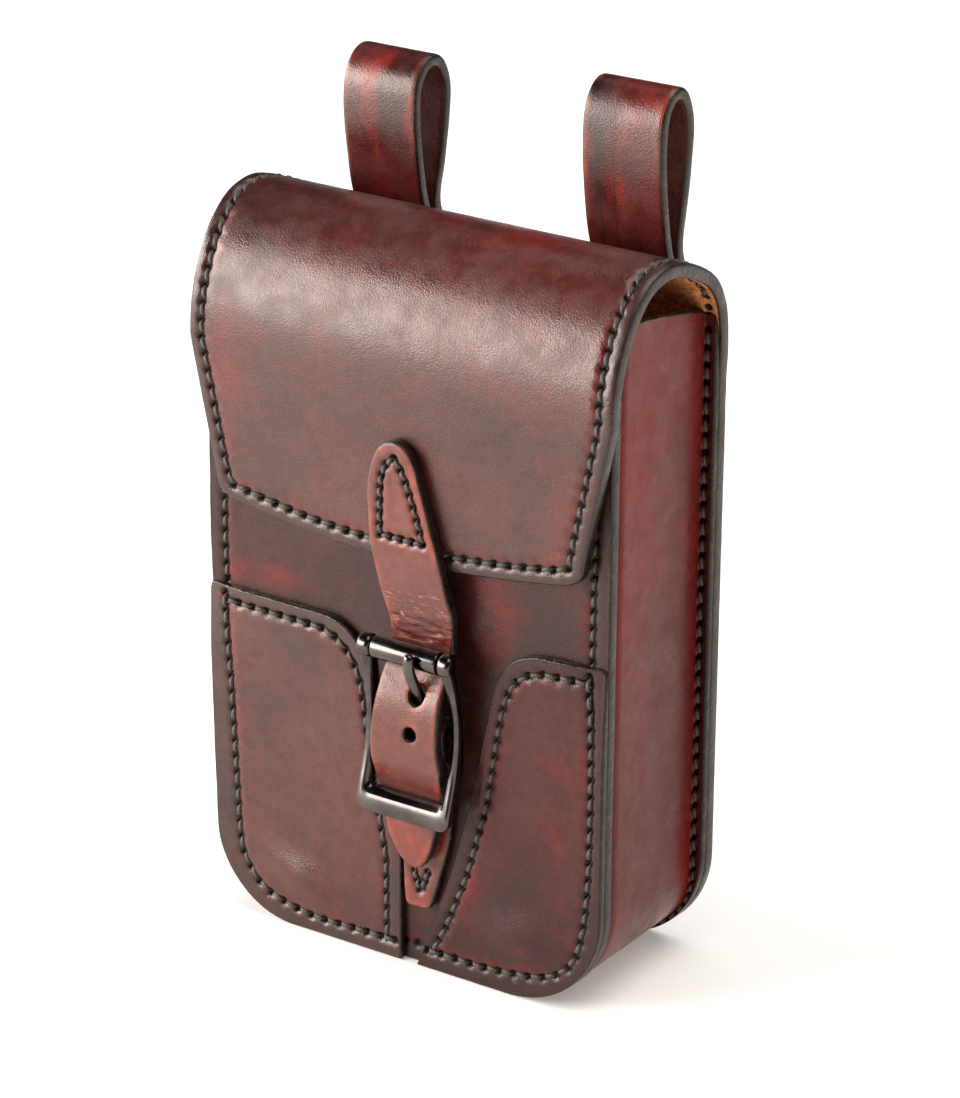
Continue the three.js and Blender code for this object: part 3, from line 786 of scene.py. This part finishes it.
flapSpec = dict(
    leather=3.0, springHeight=128.7, backSeam=2.3, flapSeam=3.3,  # seams are so far in from the edge
    # the outer face of the bend, back to front
    bend=[(24.6, 128.7), (24.3, 135.2), (23.4, 140.5), (21.9, 145.3), (19.7, 149.1), (16.8, 152.2),
          (13.2, 154.5), (8.9, 156.5), (4.3, 158.1), (-0.3, 158.9), (-4.7, 158.4), (-8.9, 156.8),
          (-12.8, 153.7), (-16.3, 149.3), (-18.7, 144.3), (-20.2, 139.9), (-21.1, 135.7),
          (-21.5, 129.7), (-21.4, 116.7)],
)
gussetLow, gussetHigh = nodeBox("gusset")
gussetSpec = dict(leather=1.8, wallFront=0.3, wallRear=3.0, ease=4.5, turnIn=8.0,
                  topFront=149.7, topRear=143.0, crown=0.6, top=150.0, seamTop=139.5,
                  rearSeam=2.2, frontSeam=4.2, frontSeamShort=8, flapLeather=3.6, flapRoom=2.6)
halfLeather = gussetSpec["leather"] / 2
nearFace, farFace = gussetLow[1], gussetHigh[1]
# the strip's section as y, inset and how much tighter it turns the corners
section = np.array([
    (nearFace + halfLeather, gussetSpec["turnIn"], 0),
    (nearFace + halfLeather, gussetSpec["wallFront"] + halfLeather + 1.0, 0),
    (nearFace + halfLeather + 0.3, gussetSpec["wallFront"] + halfLeather + 0.3, 0),
    (nearFace + halfLeather + 1.0, gussetSpec["wallFront"] + halfLeather + 0.05, 0.1),
    (farFace - halfLeather - 1.0, gussetSpec["wallRear"] + halfLeather - 0.1, gussetSpec["ease"]),
    (farFace - halfLeather - 0.3, gussetSpec["wallRear"] + halfLeather - 0.3, gussetSpec["ease"]),
    (farFace - halfLeather, gussetSpec["wallRear"] + halfLeather - 1.0, gussetSpec["ease"]),
    (farFace - halfLeather, 0.0, 0.0)])
sectionRun = lengths(section[:, :2])
stripTop = gussetSpec["top"]
marks = np.linspace(0, 6, 601)
edgeRun = lengths(edgePlace(marks, 1.5, 0, stripTop))


def gussetForm(u, v, h):
    # v runs across the strip and u along it
    q = np.interp(u, edgeRun, marks)
    y, inset, ease = (np.interp(v, sectionRun, section[:, i]) for i in range(3))
    ahead = np.gradient(section[:, :2], sectionRun, axis=0)
    ay, ai = (np.interp(v, sectionRun, ahead[:, i]) for i in (0, 1))
    size = np.hypot(ay, ai)
    # heights go outward from the pouch along the wall
    place = edgePlace(q, inset - ay / size * h, ease, stripTop)
    return np.column_stack([place[:, 0], y + ai / size * h, place[:, 1]])


across = np.linspace(0, sectionRun[-1], 40)
acrossY = np.interp(across, sectionRun, section[:, 0])
share = 2 * (acrossY - nearFace) / (farFace - nearFace) - 1
endTop = gussetSpec["topFront"] + (gussetSpec["topRear"] - gussetSpec["topFront"]) * (share + 1) / 2
endTop += gussetSpec["crown"] * (1 - share ** 2)
# under the bend it stops short of the flap
bendY, bendZ = smooth(flapSpec["bend"], 10).T
front = bendY < 0
underBend = np.interp(acrossY + gussetSpec["flapLeather"], bendY[front][::-1], bendZ[front][::-1])
endTop = np.minimum(endTop, underBend - gussetSpec["flapRoom"])
leftEnd = np.column_stack([stripTop - endTop, across])
rightEnd = np.column_stack([edgeRun[-1] - (stripTop - endTop), across])
gussetOutline = np.vstack([leftEnd[::-1], rightEnd])
gussetLeather = dict(top=halfLeather, bottom=-halfLeather, round=(0.5, 0.2), coarse=1.7, seed=6,
                     folds=sectionRun[1:-1], uneven=0.16, both=True)
frontMark = gussetSpec["turnIn"] - gussetSpec["frontSeam"]
rearMark = sectionRun[-1] - gussetSpec["rearSeam"]
seamInset = stripTop - gussetSpec["seamTop"]
frontInset = seamInset + gussetSpec["frontSeamShort"]
gussetRear = seamAlong([(seamInset, rearMark), (edgeRun[-1] - seamInset, rearMark)])
gussetFront = seamAlong([(frontInset, frontMark), (edgeRun[-1] - frontInset, frontMark)])
gusset = cutLeather("gusset_leather", gussetLeather, gussetOutline, gussetForm,
                    [gussetRear, gussetFront])
finish(gusset, gussetFinish, "gusset")


backY = nodeBox("back_and_flap")[1][1]
bend = smooth(flapSpec["bend"], 10)
backPath = np.vstack([[(backY, 0.0)], bend, [(-20.9, 80.0)]])
backForm = bentForm(backPath)
crest = backForm.run[np.argmax(backForm.line[:, 1])]


def alongFlap(z):
    front = backForm.run > crest
    return np.interp(z, backForm.line[front, 1][::-1], backForm.run[front][::-1])


backEdge = bodyOutline(flapSpec["springHeight"])
flapEdge = trace((52.2, 129.7), (45.8, 100.1), (45.8, 96.1, 41.8, 95.3), (0, 87.3, -41.8, 95.3),
                 (-45.8, 96.1, -45.8, 100.1), (-52.2, 129.7))
flapEdge = spaced(flapEdge, 0.8)
flapEdge = np.column_stack([flapEdge[:, 0], alongFlap(flapEdge[:, 1])])
rightShoulder = np.array([(50.9, 138), (51.6, 149), (52.2, crest)])
backOutline = np.vstack([backEdge, rightShoulder, flapEdge, (rightShoulder * (-1, 1))[::-1]])
backLeather = dict(top=0.0, bottom=-flapSpec["leather"], round=(0.85, 0.3), coarse=1.6, seed=9,
                   uneven=0.02, both=True)
edgeLine = spaced(backOutline, 1.0, True)
insets = np.interp(edgeLine[:, 1], [120, 165], [flapSpec["backSeam"], flapSpec["flapSeam"]])
backSeamLine = edgeLine + inward(edgeLine) * insets[:, None]
backSeam = seamAlong(np.vstack([backSeamLine, backSeamLine[:1]]))
backPiece = cutLeather("back_and_flap_leather", backLeather, backOutline, backForm, [backSeam])
finish(backPiece, bodyFinish, "back_and_flap")


strapSpec = dict(
    leather=dict(top=1.3, bottom=-1.3, round=(0.7, 0.6), coarse=0.55, fine=0.45, seed=12, uneven=0.1),
    prongX=9.21, seamPitch=2.7,
    holes=[(8.6, 56.9, 1.45, 1.0), (9.31, 65.1, 1.75, 1.25)],  # x, height, radius and how tall
    line=[(-22.99, 119.7), (-22.84, 104.7), (-22.59, 88.7), (-21.79, 81.7), (-20.94, 73.2),
          (-23.29, 68.7), (-25.79, 63.2), (-26.54, 56.2), (-25.59, 50.7), (-23.59, 46.1),
          (-21.89, 41.7), (-21.79, 37.7), (-22.19, 32.7), (-22.49, 23.7)],
    outline=trace((1.7, 118.1), (6.4, 117.7, 8, 110.7), (12.9, 94.7), (15.8, 82.7), (15.2, 75.7),
                  (15.2, 49.7), (13.6, 41.7), (11.6, 31.7), (10.2, 24.9, 7, 24.9),
                  (3, 24.9, 0, 31.7), (-2.8, 41.7), (-2.6, 47.7), (-1.3, 56.7), (-0.4, 64.7),
                  (-0.2, 78.7), (-4.4, 95.7), (-5, 105.7), (-4.4, 117.7, 1.7, 118.1)),
    seam=trace((1.9, 114.6), (-1.6, 113, -1.6, 107), (-1.8, 97.5), (9, 97.5), (4.6, 113, 1.9, 114.6)),
)
strapForm = bentForm(smooth(strapSpec["line"], 10))
prongX = strapSpec["prongX"]


def alongLine(form, z):
    order = np.argsort(form.line[:, 1])
    return np.interp(z, form.line[order, 1], form.run[order])


def ontoLine(form, outline):
    return np.column_stack([outline[:, 0], alongLine(form, outline[:, 1])])


turns = np.linspace(0, 2 * math.pi, 25)[:-1]


def roundHole(x, z, radius, tall):
    centre = alongLine(strapForm, z)
    return np.column_stack([x + radius * np.cos(turns), centre + radius * tall * np.sin(turns)])


# creases where the strap bends under the roller, and a dip round the prong's hole
def strapCreases(points, toEdge):
    u, v = points.T
    height = np.interp(v, strapForm.run, strapForm.line[:, 1])
    above = np.exp(-((height - 79.0) / 3.4) ** 2)
    under = 0.35 * np.exp(-((height - 67.0) / 2.6) ** 2)
    wave = np.array([noise.noise((a * 0.1, b * 0.95, 5.0)) + 0.6 * noise.noise((a * 0.3, b * 2.1, 9.0))
                     for a, b in zip(u, v)])
    folds = -np.abs(wave) ** 0.7 * 0.5
    pocket = 0.22 * np.exp(-((u - prongX - 0.3) / 2.4) ** 2 - ((height - 66.2) / 2.6) ** 2)
    return (above + under) * folds - pocket


strapCuts = [roundHole(*hole) for hole in strapSpec["holes"]]
strapSeam = seamAlong(ontoLine(strapForm, strapSpec["seam"]), strapSpec["seamPitch"], False)
strap = cutLeather("closing_strap_leather", strapSpec["leather"],
                   ontoLine(strapForm, strapSpec["outline"]), strapForm, [strapSeam], strapCuts,
                   relief=strapCreases)
finish(strap, strapFinish, "closing_strap")


tabSpec = dict(
    layer=-18.79, barY=-21.39, barZ=56.2, seamPitch=2.3, slotWide=1.9, slotTall=7.4,
    leather=dict(top=0.9, bottom=-0.9, round=(0.6, 0.6), coarse=0.9, fine=0.6, seed=15, uneven=0.05,
                 grain="both", both=True),
)
tabRadius = abs(tabSpec["layer"] - tabSpec["barY"])
tabTurn = [(tabSpec["barY"] + tabRadius * math.cos(a), tabSpec["barZ"] + tabRadius * math.sin(a))
           for a in np.linspace(0, math.pi, 13)]
tabPath = np.vstack([[(tabSpec["layer"], 12.7)], tabTurn,
                     [(-22.99, 52.2), (-20.89, 49.1), (-20.89, 47.1)]])
tabForm = bentForm(tabPath)
tabEnd = tabForm.run[-1]
tabOutline = np.array([(3.4, 1.0), (7, 1.1), (8.2, 1.6), (9, 3.2), (12.9, 17), (14.4, 30), (14.5, 45),
                       (14.5, tabEnd - 0.6), (-2.9, tabEnd - 0.6), (-2.9, 33.5), (1, 19.3), (1.6, 4.5),
                       (1.9, 2), (2.4, 1.2)])
slotMid = 43.5 + math.pi / 2 * tabRadius
tabSlot = [np.column_stack([prongX + tabSpec["slotWide"] * np.cos(turns),
                            slotMid + tabSpec["slotTall"] * np.sin(turns)])]
tabSeam = seamAlong(trace((4.2, 9.5), (5.8, 4.6), (7.6, 9.8)), tabSpec["seamPitch"], False)
tab = cutLeather("buckle_tab_leather", tabSpec["leather"], tabOutline, tabForm, [tabSeam], tabSlot)
finish(tab, strapFinish, "buckle_tab")


loopLine = [
    (26.26, 102.7), (26.26, 118.7), (26.26, 128.7), (26.01, 135.2), (25.11, 140.7), (23.51, 146),
    (21.41, 150.3), (19.91, 154.6), (18.81, 159.7), (17.31, 169.7), (17.61, 177.7), (19.91, 181.6),
    (23.01, 182.8), (26.01, 181.3), (28.11, 176.2), (27.51, 167.7), (26.01, 159.7), (24.81, 154.9),
    (24.81, 151.3), (26.41, 147.1), (28.11, 141.4), (29.01, 135.5), (29.26, 128.7), (29.26, 118.7),
    (29.26, 95.7)]
loopSpec = dict(
    left=dict(centre=-30.95, width=18.6, stretch=1.0, pinch=0.0, seed=21, look=leftLoopFinish),
    right=dict(centre=29.0, width=19.2, stretch=1.09, pinch=0.09, seed=24, look=rightLoopFinish),
)
loopLeather = dict(top=1.35, bottom=-1.35, round=(0.9, 0.9), coarse=1.3, grain="bottom", both=True)
loopRows = []
for side, spec in loopSpec.items():
    line = []
    for y, z in loopLine:
        rise = max(z - 148.7, 0)
        drawn = spec["pinch"] * min(rise / 8, 1) * max(y - 17.31, 0)
        line.append((y - drawn, z + rise * (spec["stretch"] - 1)))
    form = bentForm(smooth(line, 8))
    end = form.run[-1]
    left, right = spec["centre"] - spec["width"] / 2, spec["centre"] + spec["width"] / 2
    outline = np.array([(left + 1, 0), (right - 1, 0), (right, 1), (right, end - 1.5), (right - 1.5, end),
                        (left + 1.5, end), (left, end - 1.5), (left, 1)])
    sewLeft, sewRight, sewFoot, sewTop = left + 3, right - 3, end - 3, end - 34
    loopSeam = seamAlong([(sewLeft, sewFoot), (sewRight, sewFoot), (sewRight, sewTop), (sewLeft, sewTop),
                          (sewLeft, sewFoot)], border=False)
    piece = cutLeather("belt_loop_" + side + "_leather", dict(loopLeather, seed=spec["seed"]), outline,
                       form, [loopSeam])
    finish(piece, spec["look"], "belt_loop_" + side)
    loopRows.append(dict(holes=loopSeam["holes"], form=form, level=-1.35, out=-1))


frameLow, frameHigh = nodeBox("buckle_frame")
buckleSpec = dict(
    middle=(frameLow[0] + frameHigh[0]) / 2, half=(frameHigh[0] - frameLow[0]) / 2,
    foot=frameLow[2], footTall=5.2, arm=2.3, thick=1.45, knob=2.5, knobLong=3.2, broaden=16,
    outerCorner=2.4, innerCorner=1.3, bevel=1.25, soft=0.14,
    rollerHalf=8.1, rollerRadius=2.4, rollerBore=1.75,
    prongWide=1.45, prongDeep=1.15, prongTip=1.1, prongRing=2.7, prongBore=1.7,
    top=(-25.09, 73.2), centre=(-21.39, 56.2), barRound=1.4,
    # how the frame is dished, seen from the side
    dish=[(-25.79, 34), (-25.79, 39.3), (-22.9, 50.2), (-22.5, 60.2), (-25.0, 72.2), (-25.09, 76)],
    # the prong's middle line, seen from the side
    prong=[(-22.9, 57.2), (-23.7, 61.0), (-24.9, 64.4), (-26.8, 67.8), (-28.5, 71.0), (-29.0, 73.6),
           (-28.5, 75.3)],
)


# A round bar along x from a profile of x and radius.
def turned(profile, centre, sides=40):
    angle = np.arange(sides) * 2 * math.pi / sides
    places = [(x, centre[0] + r * math.cos(a), centre[1] + r * math.sin(a))
              for x, r in profile for a in angle]
    faces = tubeFaces(len(profile), sides)
    return places, faces[:-2] if profile[0] == profile[-1] else faces


def joined(parts):
    places, faces = [], []
    for partPlaces, partFaces in parts:
        first = len(places)
        places += [tuple(p) for p in partPlaces]
        faces += [tuple(first + i for i in f) for f in partFaces]
    return np.array(places), faces


# A bar with softened ends.
def softBar(fromX, toX, radius, ease, centre):
    turn = np.linspace(0, math.pi / 2, 7)
    flat = [(radius - ease) * t for t in (0.03, 0.5, 0.85)]
    start = [(fromX - 0.05, r) for r in flat]
    start += [(fromX + ease * (1 - math.cos(a)), radius - ease * (1 - math.sin(a))) for a in turn]
    end = [(toX - ease * (1 - math.cos(a)), radius - ease * (1 - math.sin(a))) for a in turn[::-1]]
    end += [(toX + 0.05, r) for r in flat[::-1]]
    return turned(start + end, centre)


# The frame's U: a chamfered section carried down one arm, along the foot and up the other.
def castFrame():
    spec = buckleSpec
    left, right = spec["middle"] - spec["half"], spec["middle"] + spec["half"]
    foot, top = spec["foot"], spec["top"][1]
    inLeft, inRight, inFoot = left + spec["arm"], right - spec["arm"], foot + spec["footTall"]
    arm, corner = np.linspace(0, 1, 30), np.linspace(0, 1, 12)

    def uShape(leftX, rightX, low, radius):
        def bendRound(x, start, turns):
            return [(x + radius * math.cos(a), low + radius + radius * math.sin(a))
                    for a in start + turns * math.pi / 2]

        line = [(leftX, top + (low + radius - top) * t) for t in arm]
        line += bendRound(leftX + radius, math.pi, corner[1:])
        line += [(leftX + radius + (rightX - leftX - 2 * radius) * t, low) for t in corner[1:-1]]
        line += bendRound(rightX - radius, 1.5 * math.pi, corner)
        line += [(rightX, top + (low + radius - top) * t) for t in arm[::-1][1:]]
        return np.array(line)

    outer = uShape(left, right, foot, spec["outerCorner"])
    inner = uShape(inLeft, inRight, inFoot, spec["innerCorner"])
    # the arms broaden and thicken into the knobs at their tops
    rising = np.clip((inner[:, 1] - top) / spec["broaden"] + 1, 0, 1) ** 2
    inner[:, 0] -= np.sign(inner[:, 0] - spec["middle"]) * rising * (spec["knobLong"] - spec["arm"])
    dish = smooth(spec["dish"], 10)
    width = np.linalg.norm(inner - outer, axis=1)
    bevel, soft = np.minimum(spec["bevel"], width * 0.36), spec["soft"]
    places = []
    for o, i, w, b, rise in zip(outer, inner, width, bevel, rising):
        thick = spec["thick"] + rise ** 3 * (spec["knob"] - spec["thick"] - 0.1)
        ring = [(0, -thick + 0.5), (0, thick - 0.55), (soft, thick - 0.3), (0.45, thick - soft / 2),
                (0.6, thick), (w - b - soft, thick), (w - b + soft * 0.6, thick - soft * 0.7),
                (w - soft * 0.8, thick - b * 0.82), (w, thick - b - soft * 0.4), (w, -thick + 0.45),
                (w - soft, -thick + 0.15), (w - 0.45, -thick), (0.45, -thick), (soft, -thick + 0.15)]
        for reach, high in ring:
            x, z = o + (i - o) * reach / w
            places.append((x, np.interp(z, dish[:, 1], dish[:, 0]) - high, z))
    faces = tubeFaces(len(outer), len(ring))
    knobs = []
    for side in (-1, 1):
        outside = spec["middle"] + side * spec["half"]
        inside = outside - side * spec["knobLong"]
        knobs.append(softBar(*sorted((outside, inside)), spec["knob"], 0.9, spec["top"]))
    bars = [softBar(left + 1, right - 1, spec["barRound"], 0.2, spec[key]) for key in ("top", "centre")]
    places, faces = joined([(places, faces), *knobs, *bars])
    return meshPiece("buckle_frame_cast", places, faces)


def bentProng():
    spec = buckleSpec
    path = smooth(spec["prong"], 10)
    along = unit(np.gradient(path, axis=0))
    run = lengths(path)
    share = run / run[-1]
    tip = np.sqrt(np.clip(1 - np.clip((run - run[-1]) / spec["prongTip"] + 1, 0, 1) ** 2, 0.02, 1))
    wide = (spec["prongWide"] - 0.3 * share) * tip
    deep = (spec["prongDeep"] - 0.1 * share) * tip
    sides = 20
    angle = np.arange(sides) * 2 * math.pi / sides
    places = []
    for (y, z), (ay, az), w, d in zip(path, along, wide, deep):
        places += [(prongX + w * math.cos(a), y - az * d * math.sin(a), z + ay * d * math.sin(a))
                   for a in angle]
    faces = tubeFaces(len(path), sides)
    outside, bore = spec["prongRing"], spec["prongBore"]
    section = [(-1.1, bore), (-1.1, outside - 0.2), (-0.9, outside), (0.9, outside), (1.1, outside - 0.2),
               (1.1, bore), (-1.1, bore)]
    ring = turned([(prongX + x, r) for x, r in section], spec["centre"])
    places, faces = joined([(places, faces), ring])
    return meshPiece("buckle_prong_bent", places, faces)


def tubeRoller():
    spec = buckleSpec
    half, radius, bore = spec["rollerHalf"], spec["rollerRadius"], spec["rollerBore"]
    side = [(half, bore), (half, radius - 0.2), (half - 0.1, radius - 0.05), (half - 0.35, radius)]
    profile = [(-x, r) for x, r in side] + side[::-1] + [(-half, bore)]
    places, faces = turned([(spec["middle"] + x, r) for x, r in profile], spec["top"])
    return meshPiece("buckle_roller_tube", np.array(places), faces)


for make, node in ((castFrame, "buckle_frame"), (bentProng, "buckle_prong"), (tubeRoller, "buckle_roller")):
    piece = make()
    finish(piece, metalFinish, node)
    print("cast", piece.name, len(piece.data.polygons))


flapHoles = backSeam["holes"]
sewThread("front_thread", [
    dict(holes=np.array([h for h in panelSeam["holes"] if h[1] > 72]), form=panelForm, level=-0.25, out=1),
    *[dict(holes=seam["holes"], form=overlayForm, level=-0.25, out=1)
      for side in ("left", "right") for seam in overlaySeams[side]],
])
sewThread("back_and_flap_thread", [
    dict(holes=flapHoles, form=backForm, level=-0.25, out=1),
    dict(holes=np.array([h for h in flapHoles if h[1] > 147]), form=backForm, level=-2.8, out=-1),
])
sewThread("gusset_thread", [
    dict(holes=gussetRear["holes"], form=gussetForm, level=0.7, out=1),
    dict(holes=gussetFront["holes"], form=gussetForm, level=-0.7, out=-1),
])
sewThread("strap_thread", [
    dict(holes=strapSeam["holes"], form=strapForm, level=1.1, out=1),
    dict(holes=tabSeam["holes"], form=tabForm, level=-0.7, out=-1),
])
sewThread("loop_thread", loopRows)


stageLook = dict(
    floor=tint(250, 246, 241), floorGlow=0.25, floorReach=9.0, floorStep=0.6,
    sky=(1.0, 0.985, 0.965, 1.0), air=(0.0, 0.3, 0.32, 0.03),
    # name, place, aim, width, height and power
    softboxes=[
        ("front left softbox", (-0.86, -0.62, 0.42), (0, 0, 0.14), 1.2, 0.52, 26),
        ("low front strip", (-0.80, -0.85, 0.13), (0, 0, 0.03), 0.7, 0.16, 2.5),
        ("overhead softbox", (0.35, 0.3, 1.7), (0, 0, 0.0), 2.0, 1.6, 32),
        ("right softbox", (1.15, 0.5, 0.7), (0, 0, 0.08), 0.6, 0.7, 2),
    ],
    lens=149.88, sensor=36.0, camera=(0.5051, -0.7239, 0.4342), roll=0.54,
    back=(0.52778, -0.76649, 0.36602), right=(0.82364, 0.56713, 0.0),
)


def makeFloor():
    reach, step = stageLook["floorReach"], stageLook["floorStep"]
    ticks = np.arange(-reach, reach + 0.01, step)
    places = np.array([(x, y, 0.0) for y in ticks for x in ticks]) / mm
    wide = len(ticks)
    faces = [(r * wide + c, r * wide + c + 1, (r + 1) * wide + c + 1, (r + 1) * wide + c)
             for r in range(wide - 1) for c in range(wide - 1)]
    floor = meshPiece("studio_floor", places - np.array([0, 0, 0.05]), faces)
    tree = Tree("pale studio paper")
    where = tree.add("TexCoord").outputs["Object"]
    tone = tree.spread(tree.noise(where, 30.0, 4.0), 0.3, 0.7, 0.985, 1.0)
    colour = tree.toned(stageLook["floor"], tone)
    paper = tree.done(colour, 0.9, tree.noise(where, 900.0), (0.1, 0.0001),
                      {"Emission Color": colour, "Emission Strength": stageLook["floorGlow"]})
    floor.data.materials.append(paper)
    floor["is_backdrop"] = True


def hangSoftbox(name, place, aim, width, height, power):
    lamp = bpy.data.lights.new(name, "AREA")
    lamp.shape, lamp.size, lamp.size_y, lamp.energy = "RECTANGLE", width, height, power
    box = bpy.data.objects.new(name, lamp)
    box.location = place
    box.rotation_euler = (Vector(aim) - Vector(place)).to_track_quat("-Z", "Y").to_euler()
    bpy.context.scene.collection.objects.link(box)


# The air is bright low down and dim overhead, as a room with white flats round the table.
def makeAir():
    air = bpy.data.worlds.new("studio air")
    air.use_nodes = True
    nodes, links = air.node_tree.nodes, air.node_tree.links
    where, split, ramp = (nodes.new("ShaderNode" + kind) for kind in ("TexCoord", "SeparateXYZ", "MapRange"))
    ramp.interpolation_type = "SMOOTHSTEP"
    for socket, value in zip(("From Min", "From Max", "To Min", "To Max"), stageLook["air"]):
        ramp.inputs[socket].default_value = value
    links.new(where.outputs["Generated"], split.inputs[0])
    links.new(split.outputs[2], ramp.inputs["Value"])
    links.new(ramp.outputs[0], nodes["Background"].inputs[1])
    nodes["Background"].inputs[0].default_value = stageLook["sky"]
    bpy.context.scene.world = air


def setCamera():
    eye = bpy.data.cameras.new("studio camera")
    eye.lens, eye.sensor_width = stageLook["lens"], stageLook["sensor"]
    camera = bpy.data.objects.new("studio camera", eye)
    back, right = Vector(stageLook["back"]).normalized(), Vector(stageLook["right"]).normalized()
    up, roll = back.cross(right), math.radians(stageLook["roll"])
    right, up = right * math.cos(roll) + up * math.sin(roll), up * math.cos(roll) - right * math.sin(roll)
    facing = Matrix((right, up, back)).transposed().to_4x4()
    camera.matrix_world = Matrix.Translation(stageLook["camera"]) @ facing
    bpy.context.scene.collection.objects.link(camera)
    bpy.context.scene.camera = camera


makeFloor()
makeAir()
for lamp in stageLook["softboxes"]:
    hangSoftbox(*lamp)
setCamera()
bpy.context.scene.view_settings.view_transform = "Standard"
print("lit with", len(stageLook["softboxes"]), "softboxes")

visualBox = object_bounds()
plain = {"cad": [list(map(float, corner)) for corner in cadBox],
         "visual": [list(map(float, corner)) for corner in visualBox]}
print("visual box", plain["visual"])
